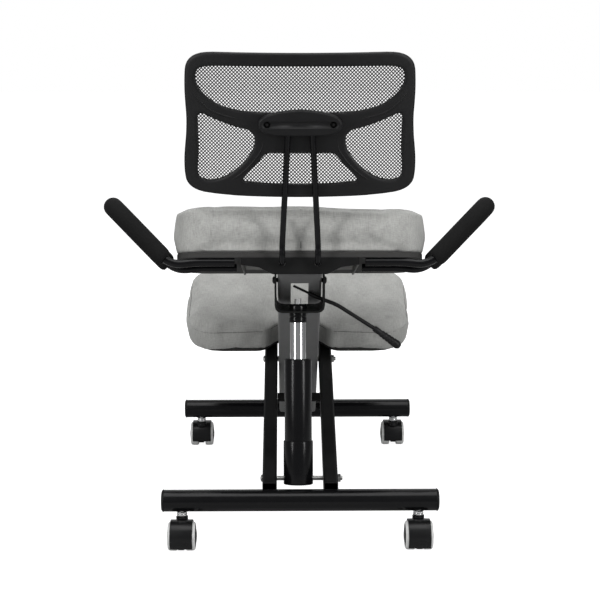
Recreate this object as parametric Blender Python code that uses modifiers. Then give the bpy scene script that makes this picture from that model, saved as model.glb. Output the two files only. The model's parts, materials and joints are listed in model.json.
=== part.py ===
"""Kneeling chair on casters, with a gas spring, mesh backrest and side handles.

Frame: +X to the sitter's right, +Y towards the knee cushion, +Z up, metres.
The origin is on the floor, midway between the two crossbars' casters.
The side view is laid out in millimetres from the rear crossbar (forward, up)
and moved to the origin by the function at_side().
"""
import math

import bmesh
import bpy
from mathutils import Matrix, Vector

MM = 0.001
GAP = 0.3 * MM

# Side view, millimetres: forward of the rear crossbar's axis, and up from the floor.
WHEELBASE = 540
CROSSBAR_UP = 85
LOWER_AXLE = (42, 110)
PIVOT = (376, 239)
STIRRUP_AXIS = (119, 451.5)
SEAT_REAR = (42, 507)
BACKREST_CENTRE = (22, 731)
KNEE_REAR = (345, 261.3)

# Slopes of the sub-assemblies about the X axis, degrees; positive rises forward.
LEG_SLOPE = math.degrees(math.atan2(PIVOT[1] - LOWER_AXLE[1], PIVOT[0] - LOWER_AXLE[0]))
BEAM_SLOPE = -40.7
SEAT_SLOPE = -16.5
GAS_LEAN = -math.degrees(math.atan2(STIRRUP_AXIS[0] - LOWER_AXLE[0], STIRRUP_AXIS[1] - LOWER_AXLE[1]))
BACKREST_LEAN = 6.0

# Driving sizes, metres.
TUBE_WALL = 1.6 * MM
CROSSBAR_RADIUS = 19 * MM
CROSSBAR_LENGTH = 474 * MM
LEG_WIDTH = 25 * MM
LEG_HEIGHT = 40 * MM
LEG_OFFSET = 53.5 * MM
BEAM_WIDTH = 77 * MM
BEAM_SHEET = 3 * MM
BEAM_BOTTOM = -24 * MM
BEAM_TOP = 16 * MM
STIRRUP_WIDTH = 88 * MM
STIRRUP_DEPTH = 60 * MM
STIRRUP_SHEET = 3 * MM
BOLT_RADIUS = 4 * MM
GAS_X = -3 * MM
SEAT_WIDTH = 438 * MM
SEAT_DEPTH = 305 * MM
SEAT_TOP = 84 * MM
SEAT_BOARD = 9 * MM
KNEE_WIDTH = 450 * MM
KNEE_DEPTH = 235 * MM
KNEE_THICKNESS = 50 * MM
BACK_HEIGHT = 236 * MM
BACK_THICKNESS = 12 * MM
BACK_CURVE = 0.61
STEM_RADIUS = 5.5 * MM
CUTTER_SIDES = 8
HANDLE_RADIUS = 7 * MM
FOAM_RADIUS = 16.5 * MM
HANDLE_SPREAD = 100 * MM
CASTER_X = 206 * MM
CASTER_TRAIL = 13 * MM
WHEEL_RADIUS = 25 * MM
AXLE_UP = WHEEL_RADIUS
WHEEL_SIDES = 18

MATERIALS = {
    "black_steel": ((0.012, 0.012, 0.013), 0.35, 0.6),
    "chrome": ((0.8, 0.8, 0.8), 0.08, 1.0),
    "zinc": ((0.45, 0.45, 0.44), 0.3, 1.0),
    "black_plastic": ((0.012, 0.012, 0.013), 0.5, 0.0),
    "grey_tyre": ((0.55, 0.55, 0.54), 0.6, 0.0),
    "foam": ((0.013, 0.013, 0.013), 0.9, 0.0),
    "linen": ((0.36, 0.36, 0.34), 0.95, 0.0),
    "plywood": ((0.07, 0.065, 0.06), 0.8, 0.0),
    "net": ((0.01, 0.01, 0.01), 0.8, 0.0),
    "pin_plastic": ((0.6, 0.6, 0.6), 0.4, 0.0),
}


def clear_scene():
    for old in list(bpy.data.objects):
        bpy.data.objects.remove(old, do_unlink=True)


def make_materials():
    made = {}
    for name, (colour, roughness, metallic) in MATERIALS.items():
        material = bpy.data.materials.new(name)
        material.use_nodes = True
        shader = material.node_tree.nodes["Principled BSDF"]
        shader.inputs["Base Color"].default_value = (*colour, 1.0)
        shader.inputs["Roughness"].default_value = roughness
        shader.inputs["Metallic"].default_value = metallic
        made[name] = material
    return made


clear_scene()
PAINT = make_materials()
PARTS = bpy.data.collections.new("kneeling_chair")
CUTTERS = bpy.data.collections.new("cutters")
for collection in (PARTS, CUTTERS):
    bpy.context.scene.collection.children.link(collection)


# ---------------------------------------------------------------- placing
def at_side(point, x=0.0):
    """World position of a side-view point given in millimetres."""
    return Vector((x, (point[0] - WHEELBASE / 2) * MM, point[1] * MM))


def slope_frame(point, degrees, x=0.0):
    """Frame at a side-view point, turned about X: local Y runs along the slope."""
    return Matrix.Translation(at_side(point, x)) @ Matrix.Rotation(math.radians(degrees), 4, "X")


LEG_FRAME = slope_frame(LOWER_AXLE, LEG_SLOPE)
PIVOT_FRAME = slope_frame(PIVOT, BEAM_SLOPE)
SEAT_FRAME = slope_frame(SEAT_REAR, SEAT_SLOPE)
GAS_FRAME = slope_frame(LOWER_AXLE, GAS_LEAN, GAS_X)
KNEE_FRAME = slope_frame(KNEE_REAR, LEG_SLOPE)
BACK_FRAME = slope_frame(BACKREST_CENTRE, BACKREST_LEAN)
ALONG_X = Matrix.Rotation(math.radians(90), 4, "Y")


def moved(x=0.0, y=0.0, z=0.0):
    return Matrix.Translation((x, y, z))


def make_empty(name, location, parent=None):
    empty = bpy.data.objects.new(name, None)
    empty.empty_display_size = 0.03
    PARTS.objects.link(empty)
    empty.location = location
    bpy.context.view_layer.update()
    attach(empty, parent)
    return empty


def attach(child, parent):
    """Parent without moving: the child keeps its world transform."""
    if parent is not None:
        bpy.context.view_layer.update()
        child.parent = parent
        child.matrix_parent_inverse = parent.matrix_world.inverted()


def add_object(name, data, matrix, paint, parent):
    part = bpy.data.objects.new(name, data)
    PARTS.objects.link(part)
    part.matrix_world = matrix
    data.materials.clear()
    data.materials.append(PAINT[paint])
    attach(part, parent)
    return part


def mesh_from(bm, smooth_angle=40):
    """Turn a bmesh into a mesh, smooth except along sharp edges."""
    mesh = bpy.data.meshes.new("shape")
    bmesh.ops.recalc_face_normals(bm, faces=bm.faces)
    bm.to_mesh(mesh)
    bm.free()
    mesh.shade_smooth()
    mesh.set_sharp_from_angle(angle=math.radians(smooth_angle))
    return mesh


# ---------------------------------------------------------------- shapes
def box_mesh(low, high):
    bm = bmesh.new()
    bmesh.ops.create_cube(bm, size=1.0)
    size = Vector(high) - Vector(low)
    centre = (Vector(high) + Vector(low)) / 2
    bmesh.ops.scale(bm, vec=size, verts=bm.verts)
    bmesh.ops.translate(bm, vec=centre, verts=bm.verts)
    return mesh_from(bm)


def rod_mesh(radius, low, high, sides=16):
    """Cylinder along local Z from low to high."""
    bm = bmesh.new()
    bmesh.ops.create_cone(
        bm, cap_ends=True, segments=sides, radius1=radius, radius2=radius, depth=high - low
    )
    bmesh.ops.translate(bm, vec=(0, 0, (low + high) / 2), verts=bm.verts)
    return mesh_from(bm)


def turned_mesh(profile, sides=24, half_step=False):
    """Turn a closed profile of (radius, height) points about local Z, outer side downwards."""
    corners = [(radius, 0, height) for radius, height in profile]
    count = len(profile)
    edges = [(index, (index + 1) % count) for index in range(count)]
    off_axis = [edge for edge in edges if corners[edge[0]][0] + corners[edge[1]][0] > 0]
    mesh = bpy.data.meshes.new("profile")
    mesh.from_pydata(corners, off_axis, [])
    holder = bpy.data.objects.new("profile_holder", mesh)
    screw = holder.modifiers.new("turned", "SCREW")
    screw.steps = screw.render_steps = sides
    screw.use_merge_vertices = True
    screw.merge_threshold = 0.01 * MM
    turned = evaluated_mesh(holder)
    if half_step:
        turned.transform(Matrix.Rotation(math.pi / sides, 4, "Z"))
    return turned


def outline_mesh(outlines, thickness):
    """Flat plate from closed outlines in local XY; inner outlines are holes."""
    curve = bpy.data.curves.new("outline", "CURVE")
    curve.dimensions = "2D"
    curve.fill_mode = "BOTH"
    curve.extrude = thickness / 2
    for points in outlines:
        spline = curve.splines.new("POLY")
        spline.points.add(len(points) - 1)
        for point, (x, y) in zip(spline.points, points):
            point.co = (x, y, 0, 1)
        spline.use_cyclic_u = True
    return mesh_of_curve(curve)


def mesh_of_curve(curve):
    return evaluated_mesh(bpy.data.objects.new("curve_holder", curve))


def evaluated_mesh(holder):
    """Evaluate a curve or a turned profile, and weld its loose seams."""
    bpy.context.scene.collection.objects.link(holder)
    graph = bpy.context.evaluated_depsgraph_get()
    mesh = bpy.data.meshes.new_from_object(holder.evaluated_get(graph))
    bpy.data.objects.remove(holder, do_unlink=True)
    bm = bmesh.new()
    bm.from_mesh(mesh)
    bmesh.ops.remove_doubles(bm, verts=bm.verts, dist=0.01 * MM)
    bpy.data.meshes.remove(mesh)
    return mesh_from(bm)


def tube_mesh(points, radius, sides_level=3, scales=None):
    """Round bar along points; scales thin it at each point."""
    curve = bpy.data.curves.new("path", "CURVE")
    curve.dimensions = "3D"
    curve.bevel_depth = radius
    curve.bevel_resolution = sides_level
    curve.use_fill_caps = True
    spline = curve.splines.new("POLY")
    spline.points.add(len(points) - 1)
    for point, place in zip(spline.points, points):
        point.co = (*place, 1)
    for point, scale in zip(spline.points, scales or []):
        point.radius = scale
    return mesh_of_curve(curve)


def round_corners(corners, radius, steps=4):
    """Replace each corner of a polygon by an arc of short runs."""
    rounded = []
    count = len(corners)
    for index, corner in enumerate(corners):
        corner = Vector(corner)
        before = (Vector(corners[index - 1]) - corner)
        after = (Vector(corners[(index + 1) % count]) - corner)
        reach = min(radius, before.length * 0.49, after.length * 0.49)
        start = corner + before.normalized() * reach
        end = corner + after.normalized() * reach
        for step in range(steps + 1):
            t = step / steps
            rounded.append(start * (1 - t) ** 2 + corner * 2 * t * (1 - t) + end * t ** 2)
    return [tuple(point) for point in rounded]


def mirrored(half):
    """Close a right half outline with its mirror image."""
    return list(half) + [(-x, y) for x, y in reversed(half)]


def rounded_box_outline(half_width, low, high, radius):
    return round_corners(mirrored([(half_width, low), (half_width, high)]), radius)


def smooth_path(corners, reaches, steps=4):
    """Open path through corners, each one rounded over its own reach."""
    points = [Vector(corners[0])]
    for index in range(1, len(corners) - 1):
        corner = Vector(corners[index])
        before = (Vector(corners[index - 1]) - corner).normalized() * reaches[index - 1]
        after = (Vector(corners[index + 1]) - corner).normalized() * reaches[index - 1]
        for step in range(steps + 1):
            t = step / steps
            points.append((corner + before) * (1 - t) ** 2 + corner * 2 * t * (1 - t) + (corner + after) * t ** 2)
    points.append(Vector(corners[-1]))
    return points


# ---------------------------------------------------------------- joining and cutting
def add_boolean(part, other, operation):
    modifier = part.modifiers.new(operation.lower(), "BOOLEAN")
    modifier.operation = operation
    modifier.object = other


def make_tool(mesh, matrix):
    """Hidden shape that cuts or joins another object."""
    tool = bpy.data.objects.new("tool", mesh)
    CUTTERS.objects.link(tool)
    tool.matrix_world = matrix
    tool.hide_render = True
    tool.display_type = "WIRE"
    return tool


def cut(part, mesh, matrix):
    add_boolean(part, make_tool(mesh, matrix), "DIFFERENCE")


def join(part, mesh, matrix):
    add_boolean(part, make_tool(mesh, matrix), "UNION")


def add_bevel(part, width, segments=2):
    modifier = part.modifiers.new("rounded_edges", "BEVEL")
    modifier.width = width
    modifier.segments = segments
    modifier.limit_method = "ANGLE"
    modifier.angle_limit = math.radians(50)


# ---------------------------------------------------------------- joint axes
ROOT = make_empty("leg_frame_origin", at_side((0, 0)))
SEAT_JOINT = make_empty("seat_pivot_axis", at_side(PIVOT), ROOT)
CASING_JOINT = make_empty("gas_lower_axis", at_side(LOWER_AXLE, GAS_X), ROOT)
ROD_JOINT = make_empty("gas_slide_axis", at_side(STIRRUP_AXIS, GAS_X), CASING_JOINT)


# ---------------------------------------------------------------- crossbars
SIDE_NAME = {-1: "left", 1: "right"}


def hollow_bar_mesh(radius, wall, length):
    half = length / 2
    inner = radius - wall
    return turned_mesh([(radius, half), (radius, -half), (inner, -half), (inner, half)], 24)


def crossbar_matrix(forward):
    return Matrix.Translation(at_side((forward, CROSSBAR_UP))) @ ALONG_X


def make_crossbar(prefix, forward, parent):
    bar = add_object(
        prefix + "_crossbar", hollow_bar_mesh(CROSSBAR_RADIUS, TUBE_WALL, CROSSBAR_LENGTH),
        crossbar_matrix(forward), "black_steel", parent,
    )
    for side in (-1, 1):
        hole = Matrix.Translation(at_side((forward, CROSSBAR_UP), side * CASTER_X))
        cut(bar, rod_mesh(STEM_RADIUS + GAP, -CROSSBAR_RADIUS - 2 * MM, 0), hole)
        make_end_cap(prefix, side, forward, parent)


def make_end_cap(prefix, side, forward, parent):
    """Push-in plug: a domed flange outside and a skirt inside the tube."""
    skirt = CROSSBAR_RADIUS - TUBE_WALL - GAP
    flange = CROSSBAR_RADIUS + 0.6 * MM
    depth, dome = 14 * MM, 4 * MM
    profile = [
        (0, dome), (flange - 3 * MM, dome), (flange, 1.5 * MM), (flange, GAP),
        (skirt, GAP), (skirt, -depth), (0, -depth),
    ]
    turn = Matrix.Rotation(math.radians(90 * side), 4, "Y")
    place = Matrix.Translation(at_side((forward, CROSSBAR_UP), side * CROSSBAR_LENGTH / 2))
    add_object(
        f"{prefix}_end_cap_{SIDE_NAME[side]}", turned_mesh(profile, 20), place @ turn,
        "black_plastic", parent,
    )


# ---------------------------------------------------------------- casters
HOOD_RADIUS = 28.5 * MM
HOOD_SHELL = 1.8 * MM
HOOD_WIDTH = 39 * MM
HOOD_CORE = 11 * MM
HOOD_FROM, HOOD_TO = -32, 200
WHEEL_INNER = 7 * MM
WHEEL_OUTER = 23.5 * MM
AXLE_RADIUS = 3.5 * MM
COLLAR_RADIUS = 10.5 * MM
PIN_IN_HOOD = 3.6 * MM
WHEEL_SPACE = 26.1 * MM
COLLAR_TOP = 57 * MM
SIDE_PLANE = Matrix(((0, 0, 1, 0), (1, 0, 0, 0), (0, 1, 0, 0), (0, 0, 0, 1)))


def make_stem(name, place, parent):
    """Steel pin with its washer and the boss that seats under the crossbar."""
    under_bar = CROSSBAR_UP * MM - CROSSBAR_RADIUS - GAP
    washer_low, boss_low = COLLAR_TOP + 0.6 * MM, COLLAR_TOP + 2.4 * MM
    pin_low, pin_top = 40 * MM, 88 * MM
    profile = [
        (0, pin_top), (STEM_RADIUS, pin_top), (STEM_RADIUS, under_bar), (9 * MM, under_bar),
        (9 * MM, boss_low), (7.5 * MM, boss_low), (7.5 * MM, washer_low),
        (PIN_IN_HOOD, washer_low), (PIN_IN_HOOD, pin_low), (0, pin_low),
    ]
    add_object(name, turned_mesh(profile, 14), place, "chrome", parent)


def sector_outline(radius, inner, start, end, steps=10):
    """Ring sector when inner is a radius, or a closed fan when inner is zero."""
    angles = [math.radians(start + (end - start) * step / steps) for step in range(steps + 1)]
    outer_arc = [(radius * math.cos(a), radius * math.sin(a)) for a in angles]
    if inner == 0:
        return outer_arc
    return outer_arc + [(inner * math.cos(a), inner * math.sin(a)) for a in reversed(angles)]


def make_hood(name, axle_place, parent):
    """Fender over both wheels, with the core between them, the stem collar and the axle."""
    inner = HOOD_RADIUS - HOOD_SHELL
    shell = outline_mesh([sector_outline(HOOD_RADIUS, inner, HOOD_FROM, HOOD_TO)], HOOD_WIDTH)
    hood = add_object(name, shell, axle_place @ SIDE_PLANE, "black_plastic", parent)
    core_radius = HOOD_RADIUS - HOOD_SHELL / 2
    core = outline_mesh([sector_outline(core_radius, 0, HOOD_FROM - 8, HOOD_TO + 8)], HOOD_CORE)
    join(hood, core, axle_place @ SIDE_PLANE)
    collar = axle_place @ moved(y=-CASTER_TRAIL)
    join(hood, rod_mesh(COLLAR_RADIUS, 13 * MM, COLLAR_TOP - AXLE_UP, 18), collar)
    for wheel_side in (-1, 1):
        near, far = sorted((wheel_side * 6 * MM, wheel_side * 40 * MM))
        cut(hood, rod_mesh(WHEEL_SPACE, near, far, 28), axle_place @ ALONG_X)
    join(hood, rod_mesh(AXLE_RADIUS, -19 * MM, 19 * MM, 12), axle_place @ ALONG_X)
    cut(hood, rod_mesh(PIN_IN_HOOD + GAP, 14.5 * MM, 60 * MM, 16), collar)


def wheel_mesh():
    """Tyre and hub in one, with a blind bore for the axle and a flat facet at the floor."""
    rim = WHEEL_RADIUS / math.cos(math.pi / WHEEL_SIDES)
    bore = AXLE_RADIUS + GAP
    profile = [
        (0, 26 * MM), (12 * MM, 25 * MM), (rim - 2 * MM, WHEEL_OUTER), (rim, WHEEL_OUTER - 2 * MM),
        (rim, WHEEL_INNER), (bore, WHEEL_INNER), (bore, 20 * MM), (0, 20 * MM),
    ]
    return turned_mesh(profile, WHEEL_SIDES, half_step=True)


def make_caster(prefix, side, forward, direction, parent):
    """Twin-wheel caster; direction is the way its wheels trail along Y."""
    name = f"{prefix}_{SIDE_NAME[side]}"
    x = side * CASTER_X
    swivel = make_empty(name + "_swivel_axis", at_side((forward, 0), x), parent)
    make_stem(name + "_caster_stem", Matrix.Translation(at_side((forward, 0), x)), parent)
    turn = Matrix.Rotation(0 if direction > 0 else math.pi, 4, "Z")
    axle_place = swivel.matrix_world @ turn @ moved(y=CASTER_TRAIL, z=AXLE_UP)
    make_hood(name + "_caster_hood", axle_place, swivel)
    for wheel_side in (-1, 1):
        spin = ALONG_X if wheel_side > 0 else Matrix.Rotation(math.radians(-90), 4, "Y")
        place = Matrix.Translation(axle_place.translation) @ spin
        wheel = f"{name}_wheel_{SIDE_NAME[wheel_side]}"
        add_object(wheel, wheel_mesh(), place, "grey_tyre", swivel)


# ---------------------------------------------------------------- leg frame
LEG_START, LEG_END = -45 * MM, 530 * MM
BRACE_ALONG = 233 * MM
PIVOT_ALONG = (Vector(PIVOT) - Vector(LOWER_AXLE)).length * MM


def make_leg(side):
    half, tall, wall = LEG_WIDTH / 2, LEG_HEIGHT / 2, TUBE_WALL
    place = LEG_FRAME @ moved(x=side * LEG_OFFSET)
    outer = box_mesh((-half, LEG_START, -tall), (half, LEG_END, tall))
    leg = add_object("leg_" + SIDE_NAME[side], outer, place, "black_steel", ROOT)
    add_bevel(leg, 3 * MM, 1)
    bore = box_mesh(
        (-half + wall, LEG_START - 0.05, -tall + wall), (half - wall, LEG_END + 0.05, tall - wall)
    )
    cut(leg, bore, place)
    cut(leg, rod_mesh(CROSSBAR_RADIUS + GAP, -0.3, 0.3, 32), crossbar_matrix(0))
    behind_bar = box_mesh((-0.2, -0.1, -0.1), (0.2, 0, 0.1))
    cut(leg, behind_bar, Matrix.Translation(at_side((3, CROSSBAR_UP))))
    for along in (0, PIVOT_ALONG):
        hole = LEG_FRAME @ moved(y=along) @ ALONG_X
        cut(leg, rod_mesh(BOLT_RADIUS + GAP, -0.1, 0.1), hole)


def make_bolt(name, frame, half_length, parent):
    """Domed head on the left, thread end on the right, turned about X."""
    head = 6.5 * MM
    profile = [
        (0, half_length + 9 * MM), (BOLT_RADIUS, half_length + 9 * MM), (BOLT_RADIUS, -half_length - GAP),
        (head, -half_length - GAP), (head - 1 * MM, -half_length - 2.5 * MM),
        (head / 2, -half_length - 3.8 * MM), (0, -half_length - 4.2 * MM),
    ]
    add_object(name, turned_mesh(profile, 16), frame @ ALONG_X, "zinc", parent)


def make_nut(name, frame, start, parent):
    nut = add_object(
        name, rod_mesh(7.2 * MM, start + GAP, start + 5.5 * MM, 6), frame @ ALONG_X, "zinc", parent
    )
    cut(nut, rod_mesh(BOLT_RADIUS + GAP, start - 2 * MM, start + 8 * MM, 16), frame @ ALONG_X)


def make_leg_frame():
    make_crossbar("rear", 0, ROOT)
    for side in (-1, 1):
        make_leg(side)
    inner = LEG_OFFSET - LEG_WIDTH / 2 - GAP
    brace = box_mesh((-inner, -11 * MM, -2 * MM), (inner, 11 * MM, 2 * MM))
    add_object("leg_brace", brace, LEG_FRAME @ moved(y=BRACE_ALONG), "black_steel", ROOT)
    outer = LEG_OFFSET + LEG_WIDTH / 2
    for name, frame in (("lower_axle", LEG_FRAME), ("pivot", LEG_FRAME @ moved(y=PIVOT_ALONG))):
        make_bolt(name + "_bolt", frame, outer, ROOT)
        make_nut(name + "_nut", frame, outer, ROOT)
    sleeve_outer, sleeve_bore = 5.6 * MM, BOLT_RADIUS + GAP
    sleeve = turned_mesh([
        (sleeve_outer, inner), (sleeve_outer, -inner), (sleeve_bore, -inner), (sleeve_bore, inner),
    ], 20)
    add_object("pivot_sleeve", sleeve, LEG_FRAME @ moved(y=PIVOT_ALONG) @ ALONG_X, "zinc", ROOT)


# ---------------------------------------------------------------- knee rest
NOTCH_HALF = 54 * MM
NOTCH_DEPTH = 40 * MM
KNEE_BOARD = 8 * MM
KNEE_PLATE = 3 * MM


def knee_outline(inset, steps=5):
    """Cushion outline in the plane of the legs, notched at the rear for the beam."""
    half, deep = KNEE_WIDTH / 2 - inset, KNEE_DEPTH - inset
    notch_side, notch_end = NOTCH_HALF + inset * 0.3, NOTCH_DEPTH + inset * 0.3
    half_outline = [
        (notch_side * 0.75, notch_end), (notch_side + 8 * MM, inset), (half, inset), (half, deep),
    ]
    return round_corners(mirrored(half_outline), 62 * MM, steps)


def make_knee_rest():
    cushion = outline_mesh([knee_outline(0)], KNEE_THICKNESS)
    part = add_object(
        "knee_cushion", cushion, KNEE_FRAME @ moved(z=KNEE_THICKNESS / 2), "linen", ROOT
    )
    add_bevel(part, 14 * MM)
    board = outline_mesh([knee_outline(14 * MM)], KNEE_BOARD)
    add_object("knee_board", board, KNEE_FRAME @ moved(z=-GAP - KNEE_BOARD / 2), "plywood", ROOT)
    outer = LEG_OFFSET + LEG_WIDTH / 2 + 14 * MM
    low = -GAP * 2 - KNEE_BOARD - KNEE_PLATE
    plate = box_mesh(
        (-outer, NOTCH_DEPTH + 12 * MM, low), (outer, KNEE_DEPTH - 60 * MM, low + KNEE_PLATE)
    )
    add_object("knee_mount_plate", plate, KNEE_FRAME, "black_steel", ROOT)


# ---------------------------------------------------------------- beam and stirrup
BEAM_REAR, BEAM_FRONT = -0.47, 0.2245
BEAM_END_AT = 62
WINDOW_HALF = 15.5 * MM
WINDOW_FROM, WINDOW_TO = -0.353, -0.236
UPRIGHT = Matrix.Rotation(math.radians(90), 4, "X")


def channel_outline(half, low, high, sheet, radius):
    """U section, open upwards."""
    corners = [
        (-half, high), (-half, low), (half, low), (half, high),
        (half - sheet, high), (half - sheet, low + sheet),
        (-half + sheet, low + sheet), (-half + sheet, high),
    ]
    return round_corners(corners, radius, 3)


def make_beam():
    section = channel_outline(BEAM_WIDTH / 2, BEAM_BOTTOM, BEAM_TOP, BEAM_SHEET, 5 * MM)
    length = BEAM_FRONT - BEAM_REAR
    middle = (BEAM_FRONT + BEAM_REAR) / 2
    beam = add_object(
        "main_beam", outline_mesh([section], length), PIVOT_FRAME @ moved(y=middle) @ UPRIGHT,
        "black_steel", SEAT_JOINT,
    )
    window = box_mesh((-WINDOW_HALF, WINDOW_FROM, -0.04), (WINDOW_HALF, WINDOW_TO, -0.01))
    cut(beam, window, PIVOT_FRAME)
    above_plate = box_mesh((-0.1, -0.2, -BRACKET_SHEET - 2 * GAP), (0.1, 0.4, 0.2))
    cut(beam, above_plate, SEAT_FRAME)
    behind_end = box_mesh((-0.1, -0.2, -0.2), (0.1, 0, 0.2))
    cut(beam, behind_end, Matrix.Translation(at_side((BEAM_END_AT, 480))))
    cut(beam, rod_mesh(CROSSBAR_RADIUS + GAP, -0.1, 0.1, 32), crossbar_matrix(WHEELBASE))
    cut(beam, rod_mesh(5.6 * MM + GAP, -0.06, 0.06, 20), Matrix.Translation(at_side(PIVOT)) @ ALONG_X)
    bolt_line = Matrix.Translation(at_side(STIRRUP_AXIS)) @ ALONG_X
    cut(beam, rod_mesh(BOLT_RADIUS + GAP, -0.06, 0.06), bolt_line)


STIRRUP_BOTTOM = 401
STIRRUP_TOP = 466
STIRRUP_MIDDLE = 108
STIRRUP_BOLT_PLAY = 1.4 * MM
LEVER_PIVOT = (41 * MM, 418.6)


def make_stirrup():
    """U of thick sheet that hangs on the beam's bolts and holds the gas spring's top."""
    high = (STIRRUP_TOP - STIRRUP_BOTTOM) * MM
    half = STIRRUP_WIDTH / 2
    section = channel_outline(half, 0, high, STIRRUP_SHEET, 14 * MM)
    place = Matrix.Translation(at_side((STIRRUP_MIDDLE, STIRRUP_BOTTOM)))
    stirrup = add_object(
        "stirrup", outline_mesh([section], STIRRUP_DEPTH), place @ UPRIGHT, "black_steel", ROD_JOINT
    )
    cut(stirrup, rod_mesh(TAPER_RADIUS + GAP, 0.25, 0.33, 24), GAS_FRAME)
    bolt_line = Matrix.Translation(at_side(STIRRUP_AXIS)) @ ALONG_X
    cut(stirrup, rod_mesh(BOLT_RADIUS + STIRRUP_BOLT_PLAY, -0.06, 0.06), bolt_line)
    slot = box_mesh((30 * MM, -7 * MM, -9 * MM), (60 * MM, 7 * MM, 9 * MM))
    cut(stirrup, slot, Matrix.Translation(at_side((STIRRUP_MIDDLE, LEVER_PIVOT[1]))))
    for side in (-1, 1):
        make_stirrup_bolt(side)


def make_stirrup_bolt(side):
    """Short shouldered bolt from outside the stirrup into the beam's side."""
    out = STIRRUP_WIDTH / 2 + GAP
    profile = [
        (0, out + 4 * MM), (5 * MM, out + 3.2 * MM), (6.8 * MM, out + 1.8 * MM), (6.8 * MM, out),
        (BOLT_RADIUS, out), (BOLT_RADIUS, 30 * MM), (0, 30 * MM),
    ]
    turn = Matrix.Rotation(math.radians(90 * side), 4, "Y")
    place = Matrix.Translation(at_side(STIRRUP_AXIS)) @ turn
    name = "stirrup_bolt_" + SIDE_NAME[side]
    add_object(name, turned_mesh(profile, 16), place, "zinc", SEAT_JOINT)


# ---------------------------------------------------------------- gas spring
SOCKET_RADIUS, SOCKET_BORE = 26 * MM, 24.3 * MM
CASING_RADIUS, CASING_BORE = 24 * MM, 22.2 * MM
CYLINDER_RADIUS = 14 * MM
PISTON_RADIUS = 5 * MM
TAPER_RADIUS = 15.6 * MM
SOCKET_SPAN = (-10 * MM, 66 * MM)
CASING_SPAN = (-8 * MM, 209.5 * MM)
BUSH_LOW = 150 * MM
CYLINDER_SPAN = (60 * MM, 293 * MM)
TAPER_SPAN = (275 * MM, 307.5 * MM)
PIN_SPAN = (297 * MM, 317 * MM)


def ring_profile(outer, inner, low, high):
    return [(outer, high), (outer, low), (inner, low), (inner, high)]


def make_gas_spring():
    """Leaning column: socket and casing turn on the lower axle, the cylinder slides."""
    axle = GAS_FRAME @ ALONG_X
    socket = add_object(
        "gas_socket", turned_mesh(ring_profile(SOCKET_RADIUS, SOCKET_BORE, *SOCKET_SPAN), 28),
        GAS_FRAME, "black_steel", CASING_JOINT,
    )
    cut(socket, rod_mesh(BOLT_RADIUS + GAP, -0.1, 0.1), axle)
    low, high = CASING_SPAN
    floor_low, floor_high = 10 * MM, 13 * MM
    casing_profile = [
        (CASING_RADIUS, high), (CASING_RADIUS, low), (CASING_BORE, low), (CASING_BORE, floor_low),
        (0, floor_low), (0, floor_high), (CASING_BORE, floor_high), (CASING_BORE, high),
    ]
    casing = add_object(
        "gas_casing", turned_mesh(casing_profile, 28), GAS_FRAME, "black_steel", CASING_JOINT
    )
    cut(casing, rod_mesh(BOLT_RADIUS + GAP, -0.1, 0.1), axle)
    bush_rim = high + 1.2 * MM
    bush_profile = [
        (CASING_RADIUS - 1 * MM, bush_rim), (CASING_RADIUS - 1 * MM, high + GAP),
        (CASING_BORE - GAP, high + GAP), (CASING_BORE - GAP, BUSH_LOW),
        (CYLINDER_RADIUS + GAP, BUSH_LOW), (CYLINDER_RADIUS + GAP, bush_rim),
    ]
    add_object("casing_bush", turned_mesh(bush_profile, 24), GAS_FRAME, "black_plastic", CASING_JOINT)
    piston = rod_mesh(PISTON_RADIUS, floor_high + GAP, 150 * MM, 12)
    add_object("piston_rod", piston, GAS_FRAME, "zinc", CASING_JOINT)


def make_gas_top():
    low, high = CYLINDER_SPAN
    bore = PISTON_RADIUS + 2 * GAP
    bore_top = 210 * MM
    cylinder_profile = [
        (0, high), (CYLINDER_RADIUS, high), (CYLINDER_RADIUS, low), (bore, low), (bore, bore_top),
        (0, bore_top),
    ]
    add_object("gas_cylinder", turned_mesh(cylinder_profile, 20), GAS_FRAME, "chrome", ROD_JOINT)
    low, high = TAPER_SPAN
    pin_bore, inner = PIN_RADIUS + GAP, CYLINDER_RADIUS + GAP
    cap_low = high - 4 * MM
    taper_profile = [
        (TAPER_RADIUS - 1.5 * MM, high), (TAPER_RADIUS, cap_low), (TAPER_RADIUS, low), (inner, low),
        (inner, cap_low), (pin_bore, cap_low), (pin_bore, high),
    ]
    add_object("gas_taper", turned_mesh(taper_profile, 20), GAS_FRAME, "black_steel", ROD_JOINT)
    pin_joint = make_empty("release_pin_axis", GAS_FRAME @ Vector((0, 0, PIN_SPAN[0])), ROD_JOINT)
    pin = rod_mesh(PIN_RADIUS, *PIN_SPAN, 16)
    add_object("release_pin", pin, GAS_FRAME, "pin_plastic", pin_joint)


PIN_RADIUS = 5.9 * MM


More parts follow.
